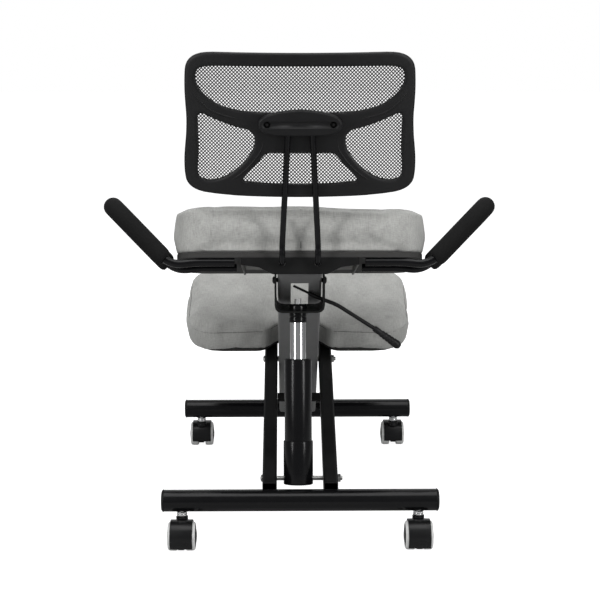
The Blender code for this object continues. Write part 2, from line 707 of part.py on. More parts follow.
def make_lever():
    """Bent release lever through the stirrup's slot, with a moulded grip."""
    joint = make_empty(
        "release_lever_axis", at_side((STIRRUP_MIDDLE, LEVER_PIVOT[1]), LEVER_PIVOT[0]), ROD_JOINT
    )
    route = ((-11, 443.5), (13.5, 431.5), (20, 428), (41, 418.6), (65, 409.6), (132, 366.2), (172, 337))
    points = [at_side((STIRRUP_MIDDLE, up), across * MM) for across, up in route]
    scales = (0.55, 0.62, 1, 1, 1, 1, 1)
    lever = tube_mesh(points, 3.6 * MM, 2, scales)
    add_object("release_lever", lever, Matrix(), "black_steel", joint)
    start, end = points[-2], points[-1]
    along = (end - start).normalized()
    turn = along.to_track_quat("Z", "Y").to_matrix().to_4x4()
    bore = 3.6 * MM + GAP
    reach = (end - start).length
    profile = [
        (0, reach + 9 * MM), (5.5 * MM, reach + 6.5 * MM), (7.8 * MM, reach), (7.6 * MM, reach - 8 * MM),
        (5.8 * MM, GAP), (bore, GAP), (bore, reach + 1 * MM), (0, reach + 1 * MM),
    ]
    grip = turned_mesh(profile, 16)
    add_object("lever_grip", grip, Matrix.Translation(start) @ turn, "black_plastic", joint)


# ---------------------------------------------------------------- seat
BRACKET_SHEET = 3 * MM
BRACKET_HALF = 101 * MM
BRACKET_FROM, BRACKET_TO = 3 * MM, 190 * MM
BRACKET_END_DROP, BRACKET_MID_DROP = 13 * MM, 29 * MM
BRACKET_MID_HALF, BRACKET_SLOPE_HALF = 47 * MM, 70 * MM
ROD_RADIUS = 5 * MM
ROD_LOW_X, ROD_HIGH_X = 30.2 * MM, 19.4 * MM
ROD_DROP = -10 * MM


def make_bracket():
    """Pressed tray: top sheet, deep rear flange and shallow end lips."""
    top = -GAP
    sheet = box_mesh(
        (-BRACKET_HALF, BRACKET_FROM, top - BRACKET_SHEET), (BRACKET_HALF, BRACKET_TO, top)
    )
    bracket = add_object("seat_bracket", sheet, SEAT_FRAME, "black_steel", SEAT_JOINT)
    half_flange = [
        (BRACKET_MID_HALF, -BRACKET_MID_DROP), (BRACKET_SLOPE_HALF, -BRACKET_END_DROP - 4 * MM),
        (BRACKET_HALF, -BRACKET_END_DROP), (BRACKET_HALF, top - 1 * MM),
    ]
    flange = outline_mesh([round_corners(mirrored(half_flange), 3 * MM, 2)], BRACKET_SHEET)
    middle = BRACKET_FROM + BRACKET_SHEET / 2
    join(bracket, flange, SEAT_FRAME @ moved(y=middle) @ UPRIGHT)
    for side in (-1, 1):
        edge = side * BRACKET_HALF
        lip = box_mesh(
            (min(edge, edge - side * BRACKET_SHEET), BRACKET_FROM + 1 * MM, -BRACKET_END_DROP),
            (max(edge, edge - side * BRACKET_SHEET), BRACKET_TO, top - 1 * MM),
        )
        join(bracket, lip, SEAT_FRAME)
    for side in (-1, 1):
        hole = SEAT_FRAME @ moved(x=side * ROD_LOW_X, z=ROD_DROP) @ UPRIGHT
        cut(bracket, rod_mesh(ROD_RADIUS + GAP, -0.02, 0.02), hole)


def make_seat():
    board_outline = rounded_box_outline(SEAT_WIDTH / 2 - 6 * MM, 5 * MM, SEAT_DEPTH - 6 * MM, 42 * MM)
    board = outline_mesh([board_outline], SEAT_BOARD - GAP)
    add_object(
        "seat_board", board, SEAT_FRAME @ moved(z=(SEAT_BOARD - GAP) / 2), "plywood", SEAT_JOINT
    )
    outline = rounded_box_outline(SEAT_WIDTH / 2, 0, SEAT_DEPTH, 46 * MM)
    thickness = SEAT_TOP - SEAT_BOARD
    cushion = add_object(
        "seat_cushion", outline_mesh([outline], thickness),
        SEAT_FRAME @ moved(z=SEAT_BOARD + thickness / 2), "linen", SEAT_JOINT,
    )
    add_bevel(cushion, 16 * MM)


# ---------------------------------------------------------------- side handles
HANDLE_NEAR = 12 * MM
HANDLE_DROP = -7.6 * MM


def handle_path(side):
    """Loop of bar in the seat's frame: out, up at the side, round and back."""
    near, far = HANDLE_NEAR, HANDLE_NEAR + HANDLE_SPREAD
    inner, bend, tip = side * 112 * MM, side * 222 * MM, side * 325 * MM
    straight_end = side * 180 * MM
    dip, rise = HANDLE_DROP - 5 * MM, 94 * MM
    corners = [
        (inner, near, HANDLE_DROP), (straight_end, near, HANDLE_DROP), (bend, near, dip),
        (tip, near, rise), (tip, far, rise), (bend, far, dip),
        (straight_end, far, HANDLE_DROP), (inner, far, HANDLE_DROP),
    ]
    reaches = [m * MM for m in (14, 24, 48, 48, 24, 14)]
    return smooth_path(corners, reaches)


def foam_path(path, side):
    """The part of the loop that the foam covers."""
    start = side * 232 * MM
    return [point for point in path if (point.x - start) * side >= 0]


def extended(points, extra):
    first = points[0] + (points[0] - points[1]).normalized() * extra
    last = points[-1] + (points[-1] - points[-2]).normalized() * extra
    return [first] + list(points) + [last]


def make_handle(side):
    path = handle_path(side)
    name = SIDE_NAME[side]
    bar = tube_mesh(path, HANDLE_RADIUS, 2)
    add_object("handle_tube_" + name, bar, SEAT_FRAME, "black_steel", SEAT_JOINT)
    covered = foam_path(path, side)
    foam = add_object(
        "handle_foam_" + name, tube_mesh(covered, FOAM_RADIUS, 3), SEAT_FRAME, "foam", SEAT_JOINT
    )
    cut(foam, tube_mesh(extended(covered, 20 * MM), HANDLE_RADIUS + GAP, CUTTER_SIDES), SEAT_FRAME)


# ---------------------------------------------------------------- backrest

def rod_path(side):
    """Round bar from inside the tray, up behind the cushion to the backrest's cover."""
    inside = SEAT_FRAME @ Vector((side * ROD_LOW_X, 16 * MM, ROD_DROP))
    elbow = SEAT_FRAME @ Vector((side * ROD_LOW_X, -16 * MM, ROD_DROP))
    foot = at_side((27, 531), side * ROD_LOW_X)
    top = at_side((6, 735), side * ROD_HIGH_X)
    return smooth_path([inside, elbow, foot, top], [14 * MM, 8 * MM])


def bend_backrest(mesh):
    """Curve a flat piece about the vertical, its sides coming forward."""
    for vertex in mesh.vertices:
        vertex.co.y += BACK_CURVE * vertex.co.x ** 2
    mesh.update()


def back_plate(name, outlines, thickness, forward, paint, slices=0):
    """Plate in the backrest's plane, curved with it; forward is its middle."""
    flat = outline_mesh(outlines, thickness)
    flat.transform(moved(y=forward) @ UPRIGHT)
    if slices:
        flat = slice_mesh(flat, slices)
    bend_backrest(flat)
    return add_object(name, merge_flat_faces(flat), BACK_FRAME, paint, SEAT_JOINT)


def slice_mesh(mesh, slices):
    """Cut a plate into upright strips, so that it bends evenly."""
    bm = bmesh.new()
    bm.from_mesh(mesh)
    half = BACK_HALF
    for step in range(1, slices):
        plane = (-half + 2 * half * step / slices, 0, 0)
        geometry = bm.verts[:] + bm.edges[:] + bm.faces[:]
        bmesh.ops.bisect_plane(bm, geom=geometry, plane_co=plane, plane_no=(1, 0, 0))
    bpy.data.meshes.remove(mesh)
    return mesh_from(bm)


def merge_flat_faces(mesh):
    """Join the triangles that lie in one plane, keeping the strips apart."""
    bm = bmesh.new()
    bm.from_mesh(mesh)
    bmesh.ops.dissolve_limit(bm, angle_limit=math.radians(1.4), verts=bm.verts, edges=bm.edges)
    bpy.data.meshes.remove(mesh)
    return mesh_from(bm)


BACK_HALF = 190 * MM


def millimetres(points):
    return [(x * MM, y * MM) for x, y in points]


def backrest_outline(inset=0.0):
    half = [
        (188 - inset, -117 + inset), (194 - inset, -66), (188 - inset, 0), (191 - inset, 60),
        (186 - inset, 117 - inset),
    ]
    return round_corners(millimetres(mirrored(half)), 36 * MM, 4)


def window_outlines():
    """Four openings: a wide top one, two at the sides and one at the bottom."""
    top = mirrored([(0.5, 22), (96, 22), (136, 34), (172, 66), (160, 98), (0.5, 98)])
    side = [(168, 18), (84, -9), (77, -34), (96, -66), (138, -92), (170, -88)]
    bottom = mirrored([(53, -47), (94, -95)])
    corner, rim = 9 * MM, 3
    return [
        round_corners(millimetres(top), corner, rim), round_corners(millimetres(side), corner, rim),
        round_corners(millimetres([(-x, y) for x, y in side]), corner, rim),
        round_corners(millimetres(bottom), corner, rim),
    ]


def make_backrest():
    back_plate(
        "backrest_frame", [backrest_outline()] + window_outlines(), BACK_THICKNESS, 0,
        "black_plastic", 10,
    )
    net_thickness = 1.4 * MM
    net_forward = BACK_THICKNESS / 2 + GAP + net_thickness / 2
    back_plate("backrest_net", [backrest_outline(7)], net_thickness, net_forward, "net", 10)
    cover_half = [(38, -19), (69, -3), (66, 15), (30, 26)]
    outline = round_corners(millimetres(mirrored(cover_half)), 9 * MM, 3)
    cover_thickness = 15 * MM
    forward = -BACK_THICKNESS / 2 - GAP - cover_thickness / 2
    flat = outline_mesh([outline], cover_thickness)
    cover = add_object(
        "backrest_cover", flat, BACK_FRAME @ moved(y=forward) @ UPRIGHT, "black_plastic", SEAT_JOINT
    )
    for side in (-1, 1):
        path = rod_path(side)
        name = SIDE_NAME[side]
        add_object("back_rod_" + name, tube_mesh(path, ROD_RADIUS, 2), Matrix(), "black_steel", SEAT_JOINT)
        cut(cover, tube_mesh(extended(path[-2:], 1 * MM), ROD_RADIUS + GAP, CUTTER_SIDES), Matrix())
        make_cover_screw(name, side, cover)


SCREW_X, SCREW_UP = 54.5 * MM, 4.5 * MM


def make_cover_screw(name, side, cover):
    """Pan-head screw, sunk into the cover from behind."""
    face = -BACK_THICKNESS / 2 - GAP - 15 * MM
    place = BACK_FRAME @ moved(side * SCREW_X, face, SCREW_UP) @ UPRIGHT
    cut(cover, rod_mesh(4.6 * MM, -6 * MM, 4 * MM, 16), place)
    profile = [
        (0, -2.2 * MM), (2.5 * MM, -2.4 * MM), (4 * MM, -3.2 * MM), (4 * MM, -5.4 * MM), (0, -5.4 * MM),
    ]
    add_object("cover_screw_" + name, turned_mesh(profile, 14), place, "zinc", SEAT_JOINT)


# ---------------------------------------------------------------- build
def build_chair():
    make_leg_frame()
    make_knee_rest()
    make_crossbar("front", WHEELBASE, SEAT_JOINT)
    for side in (-1, 1):
        make_caster("rear", side, 0, -1, ROOT)
        make_caster("front", side, WHEELBASE, 1, SEAT_JOINT)
    make_beam()
    make_stirrup()
    make_gas_spring()
    make_gas_top()
    make_lever()
    make_bracket()
    make_seat()
    for side in (-1, 1):
        make_handle(side)
    make_backrest()


build_chair()
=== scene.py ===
"""Looks of the kneeling chair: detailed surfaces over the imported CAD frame.

World frame as in the CAD: +X to the sitter's right, +Y towards the knee cushion, +Z up, metres.
The side view is laid out in millimetres from the rear crossbar (forward, up).
"""
import json
import math

import bmesh
import bpy
from mathutils import Matrix, Vector


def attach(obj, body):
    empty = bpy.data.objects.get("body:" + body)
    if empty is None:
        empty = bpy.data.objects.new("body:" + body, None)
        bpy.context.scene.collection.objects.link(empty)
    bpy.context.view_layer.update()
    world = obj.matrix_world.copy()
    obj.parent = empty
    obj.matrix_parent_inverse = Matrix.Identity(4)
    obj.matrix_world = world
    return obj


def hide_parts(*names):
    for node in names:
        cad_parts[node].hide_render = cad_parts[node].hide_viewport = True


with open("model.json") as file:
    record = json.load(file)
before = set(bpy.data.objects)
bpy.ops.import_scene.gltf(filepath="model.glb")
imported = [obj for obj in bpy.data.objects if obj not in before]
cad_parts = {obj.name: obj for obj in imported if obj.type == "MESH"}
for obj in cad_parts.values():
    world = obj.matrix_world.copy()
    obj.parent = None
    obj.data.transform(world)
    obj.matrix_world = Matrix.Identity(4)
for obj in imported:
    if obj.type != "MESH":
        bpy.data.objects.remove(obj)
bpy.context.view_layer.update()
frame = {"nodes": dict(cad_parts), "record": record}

MM = 0.001
WHEELBASE = 540
CROSSBAR_UP = 85
LOWER_AXLE = (42, 110)
PIVOT = (376, 239)
STIRRUP_AXIS = (119, 451.5)
SEAT_REAR = (42, 507)
BACKREST_CENTRE = (22, 731)
KNEE_REAR = (345, 261.3)
LEG_SLOPE = math.degrees(math.atan2(PIVOT[1] - LOWER_AXLE[1], PIVOT[0] - LOWER_AXLE[0]))
SEAT_SLOPE = -16.5
GAS_LEAN = -math.degrees(math.atan2(STIRRUP_AXIS[0] - LOWER_AXLE[0], STIRRUP_AXIS[1] - LOWER_AXLE[1]))
BACKREST_LEAN = 6.0
BACK_CURVE = 0.61
GAS_X = -3 * MM
ALONG_X = Matrix.Rotation(math.radians(90), 4, "Y")
UPRIGHT = Matrix.Rotation(math.radians(90), 4, "X")
SIDES = {-1: "left", 1: "right"}


def at_side(point, x=0.0):
    """World position of a side-view point given in millimetres."""
    return Vector((x, (point[0] - WHEELBASE / 2) * MM, point[1] * MM))


def slope_frame(point, degrees, x=0.0):
    return Matrix.Translation(at_side(point, x)) @ Matrix.Rotation(math.radians(degrees), 4, "X")


def moved(x=0.0, y=0.0, z=0.0):
    return Matrix.Translation((x, y, z))


LEG_FRAME = slope_frame(LOWER_AXLE, LEG_SLOPE)
SEAT_FRAME = slope_frame(SEAT_REAR, SEAT_SLOPE)
GAS_FRAME = slope_frame(LOWER_AXLE, GAS_LEAN, GAS_X)
KNEE_FRAME = slope_frame(KNEE_REAR, LEG_SLOPE)
BACK_FRAME = slope_frame(BACKREST_CENTRE, BACKREST_LEAN)


# ---------------------------------------------------------------- camera, light and stage
CAMERA_AT = (-0.0246, -2.371, 0.901)
CAMERA_PITCH = 77.66
CAMERA_YAW = -0.656
CAMERA_LENS = 76.8
FLOOR_SIZE = 14.0
FLOOR_GLOW = 0.95
WORLD_LIGHT = 0.24


def make_camera():
    data = bpy.data.cameras.new("camera")
    data.lens = CAMERA_LENS
    data.sensor_width = 36
    camera = bpy.data.objects.new("camera", data)
    camera.location = CAMERA_AT
    camera.rotation_euler = (math.radians(CAMERA_PITCH), 0, math.radians(CAMERA_YAW))
    bpy.context.scene.collection.objects.link(camera)
    bpy.context.scene.camera = camera


def make_area_light(name, place, target, size, power):
    data = bpy.data.lights.new(name, "AREA")
    data.shape = "RECTANGLE"
    data.size, data.size_y = size
    data.energy = power
    light = bpy.data.objects.new(name, data)
    light.location = place
    aim = Vector(target) - Vector(place)
    light.rotation_euler = aim.to_track_quat("-Z", "Y").to_euler()
    bpy.context.scene.collection.objects.link(light)


def make_world():
    """White to the camera, softer grey as light and in reflections."""
    bpy.context.scene.view_settings.view_transform = "Standard"
    world = bpy.data.worlds.new("studio")
    bpy.context.scene.world = world
    world.use_nodes = True
    nodes, links = world.node_tree.nodes, world.node_tree.links
    nodes.clear()
    path = nodes.new("ShaderNodeLightPath")
    seen, lit = nodes.new("ShaderNodeBackground"), nodes.new("ShaderNodeBackground")
    seen.inputs["Color"].default_value = (1, 1, 1, 1)
    seen.inputs["Strength"].default_value = 1.0
    lit.inputs["Color"].default_value = (0.96, 0.98, 1, 1)
    lit.inputs["Strength"].default_value = WORLD_LIGHT
    mix, output = nodes.new("ShaderNodeMixShader"), nodes.new("ShaderNodeOutputWorld")
    links.new(path.outputs["Is Camera Ray"], mix.inputs[0])
    links.new(lit.outputs[0], mix.inputs[1])
    links.new(seen.outputs[0], mix.inputs[2])
    links.new(mix.outputs[0], output.inputs["Surface"])


def make_floor():
    """Pale floor that glows to the camera, so it stays white with soft contact shadows."""
    mesh = bpy.data.meshes.new("floor")
    bm = bmesh.new()
    bmesh.ops.create_grid(bm, x_segments=1, y_segments=1, size=FLOOR_SIZE)
    bm.to_mesh(mesh)
    bm.free()
    floor = bpy.data.objects.new("floor", mesh)
    floor.location.z = -0.5 * MM
    bpy.context.scene.collection.objects.link(floor)
    material = bpy.data.materials.new("floor_white")
    material.use_nodes = True
    nodes, links = material.node_tree.nodes, material.node_tree.links
    nodes.clear()
    path, diffuse = nodes.new("ShaderNodeLightPath"), nodes.new("ShaderNodeBsdfDiffuse")
    diffuse.inputs["Color"].default_value = (0.5, 0.5, 0.5, 1)
    glow, add = nodes.new("ShaderNodeEmission"), nodes.new("ShaderNodeAddShader")
    strength = nodes.new("ShaderNodeMath")
    strength.operation = "MULTIPLY"
    strength.inputs[1].default_value = FLOOR_GLOW
    output = nodes.new("ShaderNodeOutputMaterial")
    links.new(path.outputs["Is Camera Ray"], strength.inputs[0])
    links.new(strength.outputs[0], glow.inputs["Strength"])
    links.new(diffuse.outputs[0], add.inputs[0])
    links.new(glow.outputs[0], add.inputs[1])
    links.new(add.outputs[0], output.inputs["Surface"])
    mesh.materials.append(material)


make_camera()
make_world()
make_floor()
make_area_light("left_softbox", (-2.0, -1.9, 1.5), (0, 0, 0.4), (0.5, 1.8), 34)
make_area_light("right_softbox", (2.0, -1.9, 1.5), (0, 0, 0.4), (0.5, 1.8), 34)
make_area_light("top_softbox", (0, -0.3, 2.6), (0, 0, 0.3), (2.2, 2.2), 44)
make_area_light("front_fill", (0, 2.6, 1.6), (0, 0, 0.4), (2.4, 1.6), 12)


# ---------------------------------------------------------------- materials
def principled(name, colour, roughness, metallic=0.0, specular=0.5):
    material = bpy.data.materials.new(name)
    material.use_nodes = True
    shader = material.node_tree.nodes["Principled BSDF"]
    shader.inputs["Base Color"].default_value = (*colour, 1)
    shader.inputs["Roughness"].default_value = roughness
    shader.inputs["Metallic"].default_value = metallic
    shader.inputs["Specular IOR Level"].default_value = specular
    return material


def add_node(material, kind, **values):
    node = material.node_tree.nodes.new(kind)
    for name, value in values.items():
        if name in node.inputs:
            node.inputs[name].default_value = value
        else:
            setattr(node, name, value)
    return node


def stretched_noise(material, scale, detail=3.0):
    """Noise in the object's own space, stretched by a scale for each axis."""
    links = material.node_tree.links
    place = add_node(material, "ShaderNodeTexCoord")
    mapping = add_node(material, "ShaderNodeMapping", Scale=scale)
    noise = add_node(material, "ShaderNodeTexNoise", Scale=1.0, Detail=detail, Roughness=0.55)
    links.new(place.outputs["Object"], mapping.inputs["Vector"])
    links.new(mapping.outputs["Vector"], noise.inputs["Vector"])
    return noise.outputs["Fac"]


def add_bump(material, height, strength, distance):
    bump = add_node(material, "ShaderNodeBump", Strength=strength, Distance=distance)
    links = material.node_tree.links
    links.new(height, bump.inputs["Height"])
    links.new(bump.outputs["Normal"], material.node_tree.nodes["Principled BSDF"].inputs["Normal"])


def colour_between(material, factor, low, high, reach=(0.3, 0.7)):
    ramp = add_node(material, "ShaderNodeValToRGB")
    ramp.color_ramp.elements[0].position = reach[0]
    ramp.color_ramp.elements[0].color = (*low, 1)
    ramp.color_ramp.elements[1].position = reach[1]
    ramp.color_ramp.elements[1].color = (*high, 1)
    links = material.node_tree.links
    links.new(factor, ramp.inputs["Fac"])
    return ramp.outputs["Color"]


def vary_roughness(material, factor, low, high):
    spread = add_node(material, "ShaderNodeMapRange")
    spread.inputs["From Min"].default_value = 0.3
    spread.inputs["From Max"].default_value = 0.7
    spread.inputs["To Min"].default_value = low
    spread.inputs["To Max"].default_value = high
    links = material.node_tree.links
    links.new(factor, spread.inputs["Value"])
    links.new(spread.outputs["Result"], material.node_tree.nodes["Principled BSDF"].inputs["Roughness"])


def blended(material, first, second, share=0.5):
    mix = add_node(material, "ShaderNodeMix")
    mix.inputs["Factor"].default_value = share
    links = material.node_tree.links
    links.new(first, mix.inputs["A"])
    links.new(second, mix.inputs["B"])
    return mix.outputs["Result"]


def make_linen():
    """Plain weave: threads both ways, thick and thin, in heathered pale grey."""
    material = principled("linen", (0.34, 0.34, 0.325), 0.92)
    shader = material.node_tree.nodes["Principled BSDF"]
    shader.inputs["Sheen Weight"].default_value = 0.25
    shader.inputs["Sheen Roughness"].default_value = 0.5
    across = stretched_noise(material, (90, 900, 900))
    along = stretched_noise(material, (900, 90, 90))
    threads = blended(material, across, along)
    mottle = stretched_noise(material, (22, 22, 22), 2.0)
    heather = blended(material, threads, mottle, 0.3)
    colour = colour_between(material, heather, (0.27, 0.27, 0.258), (0.43, 0.43, 0.412), (0.38, 0.62))
    material.node_tree.links.new(colour, shader.inputs["Base Color"])
    add_bump(material, threads, 0.55, 0.6 * MM)
    return material


def make_thread():
    """Sewn seam: darker than the cloth, with a fine bumped surface."""
    material = principled("seam_thread", (0.1, 0.1, 0.096), 0.9)
    add_bump(material, stretched_noise(material, (900, 900, 900)), 0.4, 0.3 * MM)
    return material


def make_powder_coat():
    material = principled("black_steel", (0.006, 0.006, 0.006), 0.36, specular=0.24)
    vary_roughness(material, stretched_noise(material, (40, 40, 40)), 0.3, 0.42)
    add_bump(material, stretched_noise(material, (700, 700, 700), 1.0), 0.12, 0.2 * MM)
    return material


# Grey steel, lighter than the other black steel: the lighter base colour is painted light, standing in for
# the light on the main beam's rear web.
def make_satin_steel_painted_light():
    material = principled("satin_steel_painted_light", (0.16, 0.16, 0.16), 0.5, specular=0.3)
    vary_roughness(material, stretched_noise(material, (40, 40, 40)), 0.45, 0.55)
    return material


def make_gloss_steel():
    material = principled("gloss_black_steel", (0.004, 0.004, 0.0045), 0.22, specular=0.22)
    vary_roughness(material, stretched_noise(material, (30, 30, 30)), 0.16, 0.25)
    add_bump(material, stretched_noise(material, (260, 260, 260), 1.0), 0.04, 0.2 * MM)
    return material


def make_plastic(name, grain, roughness):
    material = principled(name, (0.007, 0.007, 0.0074), roughness, specular=0.25)
    vary_roughness(material, stretched_noise(material, (25, 25, 25)), roughness - 0.07, roughness + 0.07)
    add_bump(material, stretched_noise(material, (grain, grain, grain), 2.0), 0.22, 0.25 * MM)
    return material


def make_chrome():
    material = principled("chrome", (0.82, 0.82, 0.82), 0.08, 1.0)
    vary_roughness(material, stretched_noise(material, (60, 60, 600)), 0.05, 0.12)
    return material


def make_zinc():
    material = principled("zinc", (0.42, 0.42, 0.41), 0.3, 1.0)
    vary_roughness(material, stretched_noise(material, (200, 200, 200)), 0.25, 0.42)
    return material


def make_tyre():
    material = principled("grey_tyre", (0.72, 0.72, 0.71), 0.55)
    shade = stretched_noise(material, (120, 120, 120))
    colour = colour_between(material, shade, (0.66, 0.66, 0.65), (0.78, 0.78, 0.77))
    material.node_tree.links.new(colour, material.node_tree.nodes["Principled BSDF"].inputs["Base Color"])
    add_bump(material, stretched_noise(material, (500, 500, 500)), 0.15, 0.2 * MM)
    return material


def make_foam():
    material = principled("foam", (0.008, 0.008, 0.008), 0.9, specular=0.15)
    cells = add_node(material, "ShaderNodeTexVoronoi", Scale=900.0)
    place = add_node(material, "ShaderNodeTexCoord")
    material.node_tree.links.new(place.outputs["Object"], cells.inputs["Vector"])
    add_bump(material, cells.outputs["Distance"], 0.35, 0.5 * MM)
    return material


def make_plywood():
    """Board in thin black underlining cloth."""
    material = principled("plywood", (0.03, 0.029, 0.028), 0.85)
    add_bump(material, stretched_noise(material, (300, 300, 300)), 0.3, 0.4 * MM)
    return material


def make_net_yarn():
    material = principled("net", (0.012, 0.012, 0.012), 0.6)
    add_bump(material, stretched_noise(material, (1500, 1500, 1500)), 0.3, 0.2 * MM)
    return material


def make_pin_plastic():
    material = principled("pin_plastic", (0.5, 0.5, 0.5), 0.35)
    vary_roughness(material, stretched_noise(material, (200, 200, 200)), 0.3, 0.45)
    return material


PAINT = {
    "linen": make_linen(),
    "thread": make_thread(),
    "black_steel": make_powder_coat(),
    "satin_steel_painted_light": make_satin_steel_painted_light(),
    "gloss_black_steel": make_gloss_steel(),
    "black_plastic": make_plastic("black_plastic", 900, 0.46),
    "caster_plastic": make_plastic("caster_plastic", 500, 0.3),
    "chrome": make_chrome(),
    "zinc": make_zinc(),
    "grey_tyre": make_tyre(),
    "foam": make_foam(),
    "plywood": make_plywood(),
    "net": make_net_yarn(),
    "pin_plastic": make_pin_plastic(),
}


def repaint_cad_nodes():
    slots = {part["node"]: part["material_slot"] for part in frame["record"]["subparts"]}
    for name, node in frame["nodes"].items():
        for slot in node.material_slots:
            # The main beam gets the lighter grey steel, a painted highlight for the light on its rear web;
            # the other parts take their slots' paint.
            slot.material = PAINT["satin_steel_painted_light" if name == "main_beam" else slots[name]]


# ---------------------------------------------------------------- pieces
def body_of_node(node):
    return next(body for body, nodes in frame["record"]["behaviour"]["bodies"].items() if node in nodes)


def add_piece(name, data, matrix, paint, node, stands_for=True):
    """Link a piece, paint it, and let it ride with its node's body in the node's place."""
    piece = bpy.data.objects.new(name, data)
    bpy.context.scene.collection.objects.link(piece)
    piece.matrix_world = matrix
    data.materials.clear()
    data.materials.append(PAINT[paint])
    bpy.context.view_layer.update()
    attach(piece, body_of_node(node))
    if stands_for:
        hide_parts(node)
    return piece


def mesh_from(bm, smooth_angle=35):
    mesh = bpy.data.meshes.new("shape")
    bmesh.ops.recalc_face_normals(bm, faces=bm.faces)
    bm.to_mesh(mesh)
    bm.free()
    mesh.shade_smooth()
    mesh.set_sharp_from_angle(angle=math.radians(smooth_angle))
    return mesh


def evaluated_mesh(holder, merge=0.002 * MM):
    """Evaluate a curve or a modified mesh, and weld its loose seams."""
    bpy.context.scene.collection.objects.link(holder)
    graph = bpy.context.evaluated_depsgraph_get()
    mesh = bpy.data.meshes.new_from_object(holder.evaluated_get(graph))
    bpy.data.objects.remove(holder, do_unlink=True)
    bm = bmesh.new()
    bm.from_mesh(mesh)
    bmesh.ops.remove_doubles(bm, verts=bm.verts, dist=merge)
    bpy.data.meshes.remove(mesh)
    return mesh_from(bm)


def corner_curve(start, corner, end, steps):
    """Points from start to end along a curve pulled towards the corner."""
    points = []
    for step in range(steps + 1):
        t = step / steps
        points.append(start * (1 - t) ** 2 + corner * 2 * t * (1 - t) + end * t ** 2)
    return points


def softened(profile, reach, steps=3):
    """Round a profile's corners, except those on the axis."""
    rounded = []
    count = len(profile)
    for index, corner in enumerate(profile):
        here = Vector(corner)
        before, after = Vector(profile[index - 1]), Vector(profile[(index + 1) % count])
        if here.x == 0 or reach == 0:
            rounded.append(here)
            continue
        to_before, to_after = before - here, after - here
        span = min(reach, to_before.length * 0.45, to_after.length * 0.45)
        start, end = here + to_before.normalized() * span, here + to_after.normalized() * span
        rounded += corner_curve(start, here, end, steps)
    return rounded


def turned_mesh(profile, sides=64, reach=0.6 * MM):
    """Turn a closed profile of (radius, height) about local Z, its corners softened."""
    points = softened(profile, reach)
    corners = [(point.x, 0, point.y) for point in points]
    edges = [(index, (index + 1) % len(corners)) for index in range(len(corners))]
    off_axis = [edge for edge in edges if corners[edge[0]][0] + corners[edge[1]][0] > 0]
    mesh = bpy.data.meshes.new("profile")
    mesh.from_pydata(corners, off_axis, [])
    holder = bpy.data.objects.new("profile_holder", mesh)
    screw = holder.modifiers.new("turned", "SCREW")
    screw.steps = screw.render_steps = sides
    screw.use_merge_vertices = True
    screw.merge_threshold = 0.002 * MM
    return evaluated_mesh(holder)


def tube_mesh(points, radius, scales=None, sides=6):
    """Round bar along a smooth path of points."""
    curve = bpy.data.curves.new("path", "CURVE")
    curve.dimensions = "3D"
    curve.bevel_depth = radius
    curve.bevel_resolution = sides
    curve.use_fill_caps = True
    spline = curve.splines.new("POLY")
    spline.points.add(len(points) - 1)
    for point, place in zip(spline.points, points):
        point.co = (*place, 1)
    for point, scale in zip(spline.points, scales or []):
        point.radius = scale
    return evaluated_mesh(bpy.data.objects.new("path_holder", curve))


def plate_mesh(outlines, thickness, bevel=0.0):
    """Flat plate from closed outlines in local XY, with rounded rims."""
    curve = bpy.data.curves.new("outline", "CURVE")
    curve.dimensions = "2D"
    curve.fill_mode = "BOTH"
    curve.bevel_depth = bevel
    curve.bevel_resolution = 3
    curve.offset = -bevel
    curve.extrude = thickness / 2 - bevel
    for points in outlines:
        spline = curve.splines.new("POLY")
        spline.points.add(len(points) - 1)
        for point, (x, y) in zip(spline.points, points):
            point.co = (x, y, 0, 1)
        spline.use_cyclic_u = True
    return evaluated_mesh(bpy.data.objects.new("outline_holder", curve))


def round_corners(corners, radius, steps=8):
    """Closed outline with each corner rounded as far as its edges allow."""
    rounded = []
    count = len(corners)
    for index, corner in enumerate(corners):
        here = Vector(corner)
        before, after = Vector(corners[index - 1]) - here, Vector(corners[(index + 1) % count]) - here
        reach = [min(radius, span.length * 0.499) for span in (before, after)]
        start, end = here + before.normalized() * reach[0], here + after.normalized() * reach[1]
        rounded += corner_curve(start, here, end, steps)
    return [tuple(point) for point in rounded]


def mirrored(half):
    return list(half) + [(-x, y) for x, y in reversed(half)]


def millimetres(points):
    return [(x * MM, y * MM) for x, y in points]


def smooth_path(corners, reaches, steps=10):
    """Open path through corners, each one rounded over its own reach."""
    points = [Vector(corners[0])]
    for index in range(1, len(corners) - 1):
        corner = Vector(corners[index])
        before = (Vector(corners[index - 1]) - corner).normalized() * reaches[index - 1]
        after = (Vector(corners[index + 1]) - corner).normalized() * reaches[index - 1]
        points += corner_curve(corner + before, corner, corner + after, steps)
    points.append(Vector(corners[-1]))
    return points


def soften_edges(piece, width, segments=3, angle=40):
    bevel = piece.modifiers.new("soft_edges", "BEVEL")
    bevel.width = width
    bevel.segments = segments
    bevel.limit_method = "ANGLE"
    bevel.angle_limit = math.radians(angle)


def joined(meshes):
    """Several closed shapes in one mesh."""
    bm = bmesh.new()
    for mesh, matrix in meshes:
        mesh.transform(matrix)
        bm.from_mesh(mesh)
    return mesh_from(bm)


def finish_plain_cad_nodes():
    """Plain CAD parts keep their shape and get small rounded edges."""
    widths = {
        "leg_left": 0.8, "leg_right": 0.8, "leg_brace": 0.8, "knee_mount_plate": 0.8, "knee_board": 1.5,
        "seat_board": 1.5, "main_beam": 0.5, "stirrup": 0.5, "seat_bracket": 0.6,
        "lower_axle_nut": 0.5, "pivot_nut": 0.5,
    }
    for name, width in widths.items():
        soften_edges(frame["nodes"][name], width * MM, 2, 50)


repaint_cad_nodes()
finish_plain_cad_nodes()

